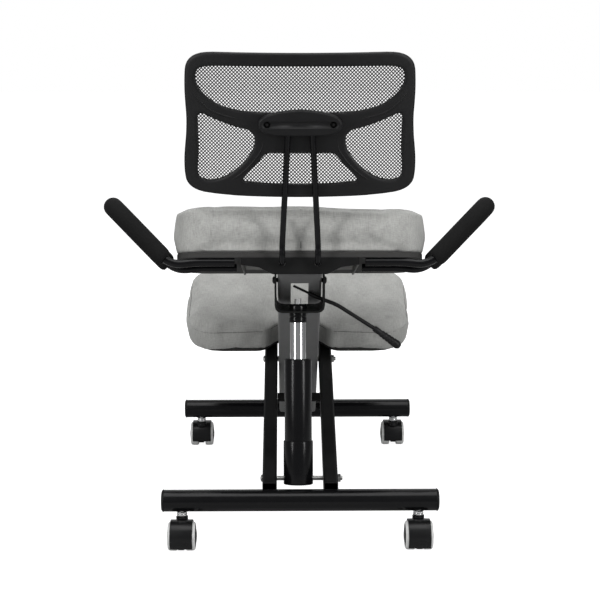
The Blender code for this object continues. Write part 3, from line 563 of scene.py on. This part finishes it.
# ---------------------------------------------------------------- crossbars and casters
CROSSBAR_RADIUS = 19 * MM
CROSSBAR_LENGTH = 474 * MM
CASTER_X = 206 * MM
CASTER_TRAIL = 13 * MM
WHEEL_RADIUS = 25 * MM
TUBE_WALL = 1.6 * MM
HOOD_RADIUS, HOOD_INNER, HOOD_WIDTH = 28.5 * MM, 26.6 * MM, 39 * MM
HOOD_FROM, HOOD_TO = -32, 200
RIB_RADIUS, RIB_WIDTH = 27.5 * MM, 11 * MM
AXLE_RADIUS, AXLE_HALF = 3.5 * MM, 19 * MM
TYRE_NEAR, TYRE_FAR = 7 * MM, 23.5 * MM
SIDE_PLANE = Matrix(((0, 0, 1, 0), (1, 0, 0, 0), (0, 1, 0, 0), (0, 0, 0, 1)))


def make_crossbar(prefix, forward):
    half, radius, inner = CROSSBAR_LENGTH / 2, CROSSBAR_RADIUS, CROSSBAR_RADIUS - TUBE_WALL
    profile = [(radius, half), (radius, -half), (inner, -half), (inner, half)]
    place = Matrix.Translation(at_side((forward, CROSSBAR_UP)))
    add_piece(
        prefix + "_crossbar_tube", turned_mesh(profile, 72, 0.4 * MM), place @ ALONG_X,
        "gloss_black_steel", prefix + "_crossbar",
    )
    for side, word in SIDES.items():
        rim = radius + 0.6 * MM
        skirt = inner - 0.3 * MM
        cap = [
            (0, 4 * MM), (rim - 3 * MM, 4 * MM), (rim, 1.5 * MM), (rim, 0.3 * MM),
            (skirt, 0.3 * MM), (skirt, -14 * MM), (0, -14 * MM),
        ]
        turn = Matrix.Rotation(math.radians(90 * side), 4, "Y")
        end = place @ moved(x=side * half) @ turn
        add_piece(f"{prefix}_cap_{word}", turned_mesh(cap, 64, 1.2 * MM), end, "black_plastic",
                  f"{prefix}_end_cap_{word}")


def make_stem(name, place):
    """Chromed pin, ringed boss and washer."""
    under, top, low = 65.7 * MM, 88 * MM, 40 * MM
    profile = [
        (0, top), (5.5 * MM, top), (5.5 * MM, under), (9 * MM, under), (9 * MM, 63.2 * MM),
        (8.2 * MM, 62.8 * MM), (8.2 * MM, 62 * MM), (9 * MM, 61.6 * MM), (9 * MM, 59.4 * MM),
        (7.5 * MM, 59.4 * MM), (7.5 * MM, 57.6 * MM), (3.6 * MM, 57.6 * MM), (3.6 * MM, low), (0, low),
    ]
    add_piece(name + "_pin", turned_mesh(profile, 48, 0.3 * MM), place, "chrome", name)


def sector(radius, inner, start, end, steps=40):
    """Outline of a pie slice, or of a ring's part when it has an inner radius; angles in degrees."""
    angles = [math.radians(start + (end - start) * step / steps) for step in range(steps + 1)]
    outer = [(radius * math.cos(a), radius * math.sin(a)) for a in angles]
    if not inner:
        return outer
    return outer + [(inner * math.cos(a), inner * math.sin(a)) for a in reversed(angles)]


def make_hood(name, axle):
    """Fender, rib between the wheels, stepped collar and axle ends."""
    shell = plate_mesh([sector(HOOD_RADIUS, HOOD_INNER, HOOD_FROM, HOOD_TO)], HOOD_WIDTH, 0.6 * MM)
    rib = plate_mesh([sector(RIB_RADIUS, 0, HOOD_FROM - 8, HOOD_TO + 8)], RIB_WIDTH, 0.8 * MM)
    collar = turned_mesh([
        (0, 32 * MM), (9 * MM, 32 * MM), (10.5 * MM, 31 * MM), (10.5 * MM, 28.6 * MM),
        (9.6 * MM, 28.2 * MM), (9.6 * MM, 27.2 * MM), (10.5 * MM, 26.8 * MM),
        (10.5 * MM, 22 * MM), (6.6 * MM, 21 * MM), (5.6 * MM, 14 * MM), (0, 14 * MM),
    ], 48, 0.5 * MM)
    axle_bar = turned_mesh(
        [(0, AXLE_HALF), (AXLE_RADIUS, AXLE_HALF), (AXLE_RADIUS, -AXLE_HALF), (0, -AXLE_HALF)], 24
    )
    hood = joined([
        (shell, SIDE_PLANE), (rib, SIDE_PLANE), (collar, moved(y=-CASTER_TRAIL)), (axle_bar, ALONG_X),
    ])
    add_piece(name + "_fender", hood, axle, "caster_plastic", name + "_caster_hood")


def make_wheel(name, axle, side):
    """Grey tyre round a black hub with a domed cap."""
    turn = axle @ (ALONG_X if side > 0 else Matrix.Rotation(math.radians(-90), 4, "Y"))
    near, far, rim = TYRE_NEAR, TYRE_FAR, WHEEL_RADIUS
    tyre = [
        (rim - 3.4 * MM, far + 0.6 * MM), (rim - 0.8 * MM, far - 1.2 * MM), (rim, far - 4 * MM),
        (rim, near + 3 * MM), (rim - 0.8 * MM, near + 0.8 * MM), (rim - 3.4 * MM, near),
        (19.6 * MM, near + 0.4 * MM), (19.6 * MM, far + 0.2 * MM),
    ]
    add_piece(name + "_tyre", turned_mesh(tyre, 72, 1 * MM), turn, "grey_tyre", name)
    hub = [
        (0, 26 * MM), (6 * MM, 25.9 * MM), (12 * MM, 25 * MM), (16.5 * MM, 23.4 * MM),
        (17 * MM, 22.4 * MM), (18 * MM, 22.4 * MM), (18.4 * MM, 23.6 * MM), (19.5 * MM, 23.6 * MM),
        (19.5 * MM, near + 1 * MM), (3.8 * MM, near + 1 * MM), (3.8 * MM, 20 * MM), (0, 20 * MM),
    ]
    add_piece(name + "_hub", turned_mesh(hub, 64, 0.5 * MM), turn, "caster_plastic", name, False)


def make_casters():
    for prefix, forward, direction in (("rear", 0, -1), ("front", WHEELBASE, 1)):
        make_crossbar(prefix, forward)
        for side, word in SIDES.items():
            name = f"{prefix}_{word}"
            foot = Matrix.Translation(at_side((forward, 0), side * CASTER_X))
            make_stem(name + "_caster_stem", foot)
            turn = Matrix.Rotation(0 if direction > 0 else math.pi, 4, "Z")
            axle = foot @ turn @ moved(y=CASTER_TRAIL, z=WHEEL_RADIUS)
            make_hood(name, axle)
            level = Matrix.Translation(axle.translation)
            for wheel_side, wheel_word in SIDES.items():
                make_wheel(f"{name}_wheel_{wheel_word}", level, wheel_side)


make_casters()


# ---------------------------------------------------------------- gas spring
SOCKET_RADIUS, SOCKET_BORE, SOCKET_LOW, SOCKET_TOP = 26 * MM, 24.3 * MM, -10 * MM, 66 * MM
CASING_RADIUS, CASING_BORE, CASING_LOW, CASING_TOP = 24 * MM, 22.2 * MM, -8 * MM, 209.5 * MM
CYLINDER_RADIUS, CYLINDER_LOW, CYLINDER_TOP = 14 * MM, 60 * MM, 293 * MM
ROD_BORE, ROD_BORE_TOP = 5.6 * MM, 210 * MM


def make_gas_spring():
    """Socket, floored casing, polished cylinder, ringed taper and button, along the gas spring's axis."""
    socket = [
        (SOCKET_RADIUS, SOCKET_TOP), (SOCKET_RADIUS, SOCKET_LOW),
        (SOCKET_BORE, SOCKET_LOW), (SOCKET_BORE, SOCKET_TOP),
    ]
    add_piece("lower_socket", turned_mesh(socket, 96, 0.5 * MM), GAS_FRAME,
              "gloss_black_steel", "gas_socket")
    casing = [
        (CASING_RADIUS, CASING_TOP), (CASING_RADIUS, CASING_LOW), (CASING_BORE, CASING_LOW),
        (CASING_BORE, 10 * MM), (0, 10 * MM), (0, 13 * MM), (CASING_BORE, 13 * MM),
        (CASING_BORE, CASING_TOP),
    ]
    add_piece("outer_casing", turned_mesh(casing, 96, 0.7 * MM), GAS_FRAME,
              "gloss_black_steel", "gas_casing")
    cylinder = [
        (0, CYLINDER_TOP), (CYLINDER_RADIUS, CYLINDER_TOP), (CYLINDER_RADIUS, CYLINDER_LOW),
        (ROD_BORE, CYLINDER_LOW), (ROD_BORE, ROD_BORE_TOP), (0, ROD_BORE_TOP),
    ]
    add_piece("polished_cylinder", turned_mesh(cylinder, 96, 0.6 * MM), GAS_FRAME,
              "chrome", "gas_cylinder")
    ring = 15.6 * MM
    groove = 14.8 * MM
    taper = [
        (14 * MM, 307.5 * MM), (ring, 303.5 * MM), (ring, 297 * MM), (groove, 296.4 * MM),
        (groove, 294 * MM), (ring, 293.4 * MM), (ring, 286 * MM), (groove, 285.4 * MM),
        (groove, 283.4 * MM), (ring, 282.8 * MM), (ring, 275 * MM), (14.3 * MM, 275 * MM),
        (14.3 * MM, 303.5 * MM), (6.2 * MM, 303.5 * MM), (6.2 * MM, 307.5 * MM),
    ]
    add_piece("ringed_taper", turned_mesh(taper, 72, 0.3 * MM), GAS_FRAME, "gloss_black_steel", "gas_taper")
    pin = [(0, 317 * MM), (5.9 * MM, 317 * MM), (5.9 * MM, 297 * MM), (0, 297 * MM)]
    add_piece("release_button", turned_mesh(pin, 48, 0.9 * MM), GAS_FRAME, "pin_plastic", "release_pin")


make_gas_spring()


# ---------------------------------------------------------------- bolts
def make_bolts():
    pivot_along = (Vector(PIVOT) - Vector(LOWER_AXLE)).length * MM
    half, shank, head = 66 * MM, 4 * MM, 6.5 * MM
    for node, along in (("lower_axle_bolt", 0), ("pivot_bolt", pivot_along)):
        profile = [
            (0, half + 9 * MM), (shank, half + 9 * MM), (shank, -half - 0.3 * MM), (head, -half - 0.3 * MM),
            (head, -half - 1.4 * MM), (head - 1.4 * MM, -half - 3.2 * MM), (0, -half - 4.2 * MM),
        ]
        place = LEG_FRAME @ moved(y=along) @ ALONG_X
        add_piece(node + "_domed", turned_mesh(profile, 48, 0.6 * MM), place, "zinc", node)
    out = 44.3 * MM
    for side, word in SIDES.items():
        profile = [
            (0, out + 4 * MM), (3.5 * MM, out + 3.8 * MM), (6.3 * MM, out + 2.2 * MM), (6.8 * MM, out),
            (shank, out), (shank, 30 * MM), (0, 30 * MM),
        ]
        place = Matrix.Translation(at_side(STIRRUP_AXIS)) @ Matrix.Rotation(math.radians(90 * side), 4, "Y")
        node = "stirrup_bolt_" + word
        add_piece(node + "_domed", turned_mesh(profile, 48, 0.5 * MM), place, "black_steel", node)


make_bolts()

# ---------------------------------------------------------------- release lever
LEVER_ROUTE = ((-11, 443.5), (13.5, 431.5), (20, 428), (41, 418.6), (65, 409.6), (132, 366.2), (172, 337))
LEVER_RADIUS = 3.6 * MM
GRIP_RIBS = 5


def make_lever():
    corners = [at_side((108, up), across * MM) for across, up in LEVER_ROUTE]
    path = smooth_path(corners, [m * MM for m in (4, 3, 8, 10, 4)])
    thin_from = corners[2].x
    scales = [0.6 if point.x < thin_from - 4 * MM else 1.0 for point in path]
    lever = tube_mesh(path, LEVER_RADIUS, scales)
    add_piece("lever_bar", lever, Matrix(), "black_steel", "release_lever")
    start, end = corners[-2], corners[-1]
    reach = (end - start).length
    bore = LEVER_RADIUS + 0.3 * MM
    ribs = []
    for index in range(GRIP_RIBS):
        height = reach * (0.92 - 0.13 * index)
        radius = (7.5 - 0.35 * index) * MM
        ribs += [(radius, height), (radius, height - 3.2 * MM), (radius - 0.9 * MM, height - 4 * MM),
                 (radius - 0.9 * MM, height - 5 * MM)]
    cap = [
        (0, reach + 9 * MM), (4.5 * MM, reach + 8 * MM), (7.4 * MM, reach + 3.5 * MM),
        (7.8 * MM, reach - 1 * MM),
    ]
    socket = [
        (5.6 * MM, 6 * MM), (5.2 * MM, 0.3 * MM), (bore, 0.3 * MM), (bore, reach + 1 * MM),
        (0, reach + 1 * MM),
    ]
    profile = cap + ribs + socket
    turn = (end - start).to_track_quat("Z", "Y").to_matrix().to_4x4()
    add_piece("ribbed_grip", turned_mesh(profile, 48, 0.6 * MM), Matrix.Translation(start) @ turn,
              "black_plastic", "lever_grip")


make_lever()

# ---------------------------------------------------------------- handles
HANDLE_NEAR, HANDLE_SPREAD, HANDLE_DROP = 12 * MM, 100 * MM, -7.6 * MM
HANDLE_RADIUS, FOAM_RADIUS, FOAM_FROM = 7 * MM, 16.5 * MM, 230 * MM
FOAM_END_STEPS = 4


def handle_path(side):
    near, far = HANDLE_NEAR, HANDLE_NEAR + HANDLE_SPREAD
    inner, straight_end, bend, tip = (side * m * MM for m in (112, 180, 222, 325))
    dip, rise = HANDLE_DROP - 5 * MM, 94 * MM
    corners = [
        (inner, near, HANDLE_DROP), (straight_end, near, HANDLE_DROP), (bend, near, dip),
        (tip, near, rise), (tip, far, rise), (bend, far, dip),
        (straight_end, far, HANDLE_DROP), (inner, far, HANDLE_DROP),
    ]
    return smooth_path(corners, [m * MM for m in (14, 24, 48, 48, 24, 14)], 14)


def resampled(points, gap):
    """Points at even steps along a path."""
    result, carried = [points[0]], 0.0
    for start, end in zip(points, points[1:]):
        span = (end - start).length
        while carried + span >= gap:
            start = start.lerp(end, (gap - carried) / span)
            span = (end - start).length
            carried = 0.0
            result.append(start)
        carried += span
    return result


def make_handle(side, word):
    path = handle_path(side)
    add_piece("handle_bar_" + word, tube_mesh(path, HANDLE_RADIUS), SEAT_FRAME, "gloss_black_steel",
              "handle_tube_" + word)
    covered = resampled([point for point in path if point.x * side >= FOAM_FROM], 3 * MM)
    scales = []
    for index in range(len(covered)):
        from_end = min(index, len(covered) - 1 - index)
        t = min(from_end / FOAM_END_STEPS, 1.0)
        scales.append(0.80 + 0.20 * math.sqrt(1 - (1 - t) ** 2))
    foam = tube_mesh(covered, FOAM_RADIUS, scales, 10)
    add_piece("foam_grip_" + word, foam, SEAT_FRAME, "foam", "handle_foam_" + word)


for SIDE, WORD in SIDES.items():
    make_handle(SIDE, WORD)


# ---------------------------------------------------------------- backrest
BACK_THICK, BACK_VOXEL = 12 * MM, 2.2 * MM


def backrest_outline(inset=0.0):
    half = [
        (0, -121 + inset), (120, -119.5 + inset), (190 - inset, -112 + inset), (196 - inset, -66),
        (187.5 - inset, 0), (192 - inset, 60), (187 - inset, 119 - inset), (0, 118.5 - inset),
    ]
    points = half + [(-x, y) for x, y in reversed(half[1:-1])]
    return round_corners(millimetres(points), 44 * MM, 8)


WINDOW_TOP = [
    (0.01, 22), (60, 21.5), (97, 23), (135, 32), (160, 50), (173, 70), (170, 94), (140, 96.5), (0.01, 97),
]
WINDOW_SIDE = [
    (170, 22), (143, 9.6), (111, -2), (80, -9), (75, -20), (77, -40), (94.3, -63), (114.5, -81),
    (138, -93), (162, -94), (172, -86), (169, -40),
]
WINDOW_BOTTOM = [(0.01, -46), (56, -46), (74, -66), (98, -94), (50, -97.5), (0.01, -98.6)]


def window_outlines():
    side = millimetres(WINDOW_SIDE)
    return [
        round_corners(millimetres(mirrored(WINDOW_TOP)), 16 * MM),
        round_corners(side, 12 * MM),
        round_corners([(-x, y) for x, y in side], 12 * MM),
        round_corners(millimetres(mirrored(WINDOW_BOTTOM)), 6 * MM),
    ]


def bend(mesh):
    for vertex in mesh.vertices:
        vertex.co.y += BACK_CURVE * vertex.co.x ** 2
    mesh.update()
    return mesh


def remeshed(mesh, voxel, smoothing):
    """Even quads all over a closed shape, its edges softened."""
    holder = bpy.data.objects.new("remesh_holder", mesh)
    remesh = holder.modifiers.new("voxels", "REMESH")
    remesh.mode = "VOXEL"
    remesh.voxel_size = voxel
    smooth = holder.modifiers.new("smooth", "SMOOTH")
    smooth.factor = 0.5
    smooth.iterations = smoothing
    return evaluated_mesh(holder)


def make_back_frame():
    flat = plate_mesh([backrest_outline()] + window_outlines(), BACK_THICK, 2.5 * MM)
    flat.transform(UPRIGHT)
    shape = bend(remeshed(flat, BACK_VOXEL, 3))
    shape.shade_smooth()
    add_piece("back_frame_moulding", shape, BACK_FRAME, "black_plastic", "backrest_frame")


def make_back_ridges():
    """Raised lines that sweep from the frame's sides along the arms to its middle."""
    for side, word in SIDES.items():
        routes = {
            "upper": [(183, 66), (172, 44), (146, 22), (112, 12), (72, 9)],
            "lower": [(60, -14), (63, -40), (82, -66), (104, -86), (124, -97)],
        }
        for level, route in routes.items():
            corners = [Vector((side * x * MM, -5.4 * MM, z * MM)) for x, z in route]
            path = smooth_path(corners, [11 * MM] * (len(corners) - 2))
            scales = [max(0.25, math.sin(math.pi * (i + 0.5) / len(path)) ** 0.5) for i in range(len(path))]
            ridge = bend(tube_mesh(path, 2 * MM, scales))
            add_piece(f"back_ridge_{level}_{word}", ridge, BACK_FRAME, "black_plastic",
                      "backrest_frame", False)


def inside(point, outline):
    """Whether a point lies in a closed outline."""
    x, y = point
    hit = False
    for (ax, ay), (bx, by) in zip(outline, outline[1:] + outline[:1]):
        if (ay > y) != (by > y) and x < (bx - ax) * (y - ay) / (by - ay) + ax:
            hit = not hit
    return hit


NET_PITCH = 5.9 * MM
NET_YARN = 1.6 * MM
NET_THICK = 0.5 * MM
NET_SIZE = (372 * MM, 224 * MM)
NET_FORWARD = 6.8 * MM
HEM_RADIUS = 2.2 * MM


def make_net():
    """Knitted lattice with staggered diamond holes, stretched over the frame's front."""
    outline = backrest_outline(8)
    width, height = NET_SIZE
    step = NET_PITCH / 2
    diamond_side = step * math.sqrt(2)
    hole = 1 - NET_YARN / diamond_side
    columns, rows = int(width / 2 / step) + 2, int(height / 2 / step) + 2
    cells = [
        (column, row) for column in range(-columns, columns + 1) for row in range(-rows, rows + 1)
        if (column + row) % 2 and inside((column * step, row * step), outline)
    ]
    bm = bmesh.new()
    knots = {}

    def knot(column, row):
        if (column, row) not in knots:
            x, z = column * step, row * step
            knots[(column, row)] = bm.verts.new((x, NET_FORWARD + BACK_CURVE * x * x, z))
        return knots[(column, row)]

    for column, row in cells:
        corners = [
            knot(column - 1, row), knot(column, row - 1), knot(column + 1, row), knot(column, row + 1),
        ]
        middle = sum((corner.co for corner in corners), Vector()) / 4
        rim = [bm.verts.new(middle.lerp(corner.co, hole)) for corner in corners]
        for index in range(4):
            after = (index + 1) % 4
            bm.faces.new([corners[index], corners[after], rim[after], rim[index]])
    holder = bpy.data.objects.new("net_holder", mesh_from(bm))
    yarn = holder.modifiers.new("yarn", "SOLIDIFY")
    yarn.thickness = NET_THICK
    yarn.offset = 0
    net = add_piece("back_net", evaluated_mesh(holder), BACK_FRAME, "net", "backrest_net")
    edge = [Vector((x, 6.6 * MM + BACK_CURVE * x * x, z)) for x, z in backrest_outline(6.5)]
    hem = add_piece("back_net_hem", tube_mesh(edge + edge[:2], HEM_RADIUS), BACK_FRAME, "net",
                    "backrest_net", False)


SCREW_X, SCREW_UP, COVER_FACE = 54.5 * MM, 4.5 * MM, -21.3 * MM


def make_back_cover():
    """Cover plate on the frame's back, with a screw sunk at each end."""
    half = [(0.01, -14.5), (46, -13.5), (64, -8), (71, 4), (64, 17), (36, 25.5), (0.01, 29)]
    outline = round_corners(millimetres(mirrored(half)), 14 * MM)
    plate = plate_mesh([outline], 15 * MM, 3.5 * MM)
    place = BACK_FRAME @ moved(y=-13.8 * MM) @ UPRIGHT
    cover = add_piece("back_cover_moulding", plate, place, "black_plastic", "backrest_cover")
    for side, word in SIDES.items():
        centre = BACK_FRAME @ moved(side * SCREW_X, COVER_FACE, SCREW_UP) @ UPRIGHT
        recess = bpy.data.objects.new("recess", turned_mesh(
            [(0, 8 * MM), (6.4 * MM, 8 * MM), (5.4 * MM, -5.6 * MM), (0, -5.6 * MM)], 48, 0))
        bpy.context.scene.collection.objects.link(recess)
        recess.matrix_world = centre
        bpy.context.view_layer.update()
        cut = cover.modifiers.new("recess", "BOOLEAN")
        cut.operation = "DIFFERENCE"
        cut.object = recess
        apply_modifiers(cover)
        bpy.data.objects.remove(recess, do_unlink=True)
        screw = [
            (0, -2.6 * MM), (2.2 * MM, -2.8 * MM), (4 * MM, -3.8 * MM), (4 * MM, -5.3 * MM), (0, -5.3 * MM),
        ]
        add_piece("cover_screw_head_" + word, turned_mesh(screw, 48, 0.4 * MM), centre, "black_steel",
                  "cover_screw_" + word)


def apply_modifiers(piece):
    graph = bpy.context.evaluated_depsgraph_get()
    mesh = bpy.data.meshes.new_from_object(piece.evaluated_get(graph))
    piece.modifiers.clear()
    piece.data = mesh


BACK_ROD_RADIUS = 5 * MM


def make_back_rods():
    for side, word in SIDES.items():
        low_x, high_x = 30.2 * MM, 19.4 * MM
        inside_tray = SEAT_FRAME @ Vector((side * low_x, 16 * MM, -10 * MM))
        elbow = SEAT_FRAME @ Vector((side * low_x, -16 * MM, -10 * MM))
        foot, top = at_side((27, 531), side * low_x), at_side((6, 735), side * high_x)
        path = smooth_path([inside_tray, elbow, foot, top], [14 * MM, 8 * MM], 10)
        add_piece("back_bar_" + word, tube_mesh(path, BACK_ROD_RADIUS), Matrix(),
                  "gloss_black_steel", "back_rod_" + word)


make_back_frame()
make_back_ridges()
make_net()
make_back_cover()
make_back_rods()

# ---------------------------------------------------------------- cushions
PUFF_FRAMES = 18
PUFF_PRESSURE = 3.5
VOXEL = 5 * MM


def puffed(mesh, cap):
    """Inflate a closed cushion shape as cloth; cap(point) is how far a point may move."""
    holder = bpy.data.objects.new("cushion_cloth", mesh)
    bpy.context.scene.collection.objects.link(holder)
    remesh = holder.modifiers.new("voxels", "REMESH")
    remesh.mode = "VOXEL"
    remesh.voxel_size = VOXEL
    apply_modifiers(holder)
    start = [vertex.co.copy() for vertex in holder.data.vertices]
    cloth = holder.modifiers.new("cloth", "CLOTH")
    cloth.settings.use_pressure = True
    cloth.settings.uniform_pressure_force = PUFF_PRESSURE
    cloth.settings.effector_weights.gravity = 0
    cloth.point_cache.frame_start = 1
    cloth.point_cache.frame_end = PUFF_FRAMES
    for step in range(1, PUFF_FRAMES + 1):
        bpy.context.scene.frame_set(step)
    apply_modifiers(holder)
    bpy.context.scene.frame_set(1)
    result = holder.data
    for vertex, origin in zip(result.vertices, start):
        shift = vertex.co - origin
        if shift.length > cap(origin):
            vertex.co = origin + shift.normalized() * cap(origin)
    bpy.data.objects.remove(holder, do_unlink=True)
    return result


def cushion_solid(outline, low, high, bevel):
    """Plate between two heights with its rims rounded."""
    mesh = plate_mesh([outline], high - low, 0)
    mesh.transform(moved(z=(high + low) / 2))
    holder = bpy.data.objects.new("rim_holder", mesh)
    soften_edges(holder, bevel, 5, 50)
    return evaluated_mesh(holder)


def smooth_blend(value, low, high):
    t = min(max((value - low) / (high - low), 0), 1)
    return t * t * (3 - 2 * t)


def add_subdivision(piece, levels=1):
    subdivision = piece.modifiers.new("fine", "SUBSURF")
    subdivision.levels = subdivision.render_levels = levels


def seam_groove(mesh, distance_to_seam, depth, width):
    """Press a sewn line into the surface, along each vertex's normal."""
    normals = [vertex.normal.copy() for vertex in mesh.vertices]
    for vertex, normal in zip(mesh.vertices, normals):
        gap = distance_to_seam(vertex.co)
        if gap < width * 3:
            vertex.co -= normal * depth * math.exp(-(gap / width) ** 2)
    mesh.update()


def surface_line(mesh, point, normal):
    """Ordered points where a plane cuts a closed surface; the longest loop if there are several."""
    bm = bmesh.new()
    bm.from_mesh(mesh)
    cut = bmesh.ops.bisect_plane(
        bm, geom=bm.verts[:] + bm.edges[:] + bm.faces[:], plane_co=point, plane_no=normal, dist=1e-7
    )
    edges = [item for item in cut["geom_cut"] if isinstance(item, bmesh.types.BMEdge)]
    beside = {}
    for edge in edges:
        for vert in edge.verts:
            beside.setdefault(vert, []).append(edge.other_vert(vert))
    longest, left = [], set(beside)
    for first in sorted(beside, key=lambda vert: tuple(vert.co)):
        if first not in left:
            continue
        loop, here = [], first
        while here is not None:
            left.discard(here)
            loop.append(here.co.copy())
            here = next((other for other in beside[here] if other in left), None)
        longest = max(longest, loop, key=len)
    bm.free()
    return longest


def evened(points, passes=6):
    """Smooth a line of points, its ends kept."""
    for _ in range(passes):
        inner = [(a + b * 2 + c) / 4 for a, b, c in zip(points, points[1:], points[2:])]
        points = [points[0]] + inner + [points[-1]]
    return points


SEAT_HALF, SEAT_DEPTH, SEAT_LOW, SEAT_HIGH = 219 * MM, 305 * MM, 9 * MM, 84 * MM
SEAT_CORNER, SEAT_RIM, SEAT_PUFF = 52 * MM, 29 * MM, 6 * MM
SEAM_RADIUS = 0.55 * MM


def make_seat_cushion():
    """Crowned box cushion, fuller left of the middle, with a seam down the rear face."""
    outline = round_corners(mirrored([(SEAT_HALF, 0), (SEAT_HALF, SEAT_DEPTH)]), SEAT_CORNER, 12)
    solid = cushion_solid(outline, SEAT_LOW, SEAT_HIGH - 2 * MM, SEAT_RIM)
    mesh = puffed(solid, lambda point: SEAT_PUFF)
    for vertex in mesh.vertices:
        point = vertex.co
        across = point.x / SEAT_HALF
        top_share = smooth_blend(point.z, SEAT_LOW + 20 * MM, SEAT_HIGH - 8 * MM)
        crown = 4.0 * math.cos(2.4 * (across + 0.25)) + 0.8 * math.sin(9 * across + 1)
        point.z = max(point.z + crown * MM * top_share, SEAT_LOW + 0.2 * MM)
    mesh.update()
    seam_x = 1.5 * MM
    seam_groove(mesh, lambda point: abs(point.x - seam_x) + smooth_blend(point.y, 0, 0.1), 1.2 * MM, 3 * MM)
    mesh.shade_smooth()
    seat = add_piece("seat_pad", mesh, SEAT_FRAME, "linen", "seat_cushion")
    add_subdivision(seat)
    section = surface_line(mesh, (seam_x, 0, 0), (1, 0, 0))
    line = [p for p in section if p.y < 45 * MM and p.z > SEAT_LOW + 2 * MM]
    line.sort(key=lambda p: p.z - p.y)
    add_piece("seat_rear_seam", tube_mesh(evened(line), SEAM_RADIUS), SEAT_FRAME, "thread",
              "seat_cushion", False)


KNEE_HALF, KNEE_DEPTH, KNEE_THICK = 225 * MM, 235 * MM, 50 * MM
KNEE_CORNER, KNEE_RIM = 66 * MM, 22 * MM


def make_knee_cushion():
    """Two-lobed pad, notched at the rear for the beam, with a seam round its top panel."""
    notch, depth = 54 * MM, 40 * MM
    half = [(notch * 0.75, depth), (notch + 8 * MM, 0), (KNEE_HALF, 0), (KNEE_HALF, KNEE_DEPTH)]
    outline = round_corners(mirrored(half), KNEE_CORNER, 12)

    def cap(point):
        near_beam = 1 - smooth_blend(abs(point.x), 60 * MM, 95 * MM)
        return (7.5 - 7 * near_beam) * MM

    mesh = puffed(cushion_solid(outline, 0.3 * MM, KNEE_THICK - 1 * MM, KNEE_RIM), cap)
    for vertex in mesh.vertices:
        vertex.co.z = max(vertex.co.z, 0.3 * MM)
    mesh.update()
    seam_up = KNEE_THICK - 8 * MM
    seam_groove(mesh, lambda point: abs(point.z - seam_up), 1.0 * MM, 2.4 * MM)
    mesh.shade_smooth()
    knee = add_piece("knee_pad", mesh, KNEE_FRAME, "linen", "knee_cushion")
    add_subdivision(knee)
    line = surface_line(mesh, (0, 0, seam_up), (0, 0, 1))
    add_piece("knee_seam", tube_mesh(evened(line + line[:1]), SEAM_RADIUS), KNEE_FRAME, "thread",
              "knee_cushion", False)


make_seat_cushion()
make_knee_cushion()
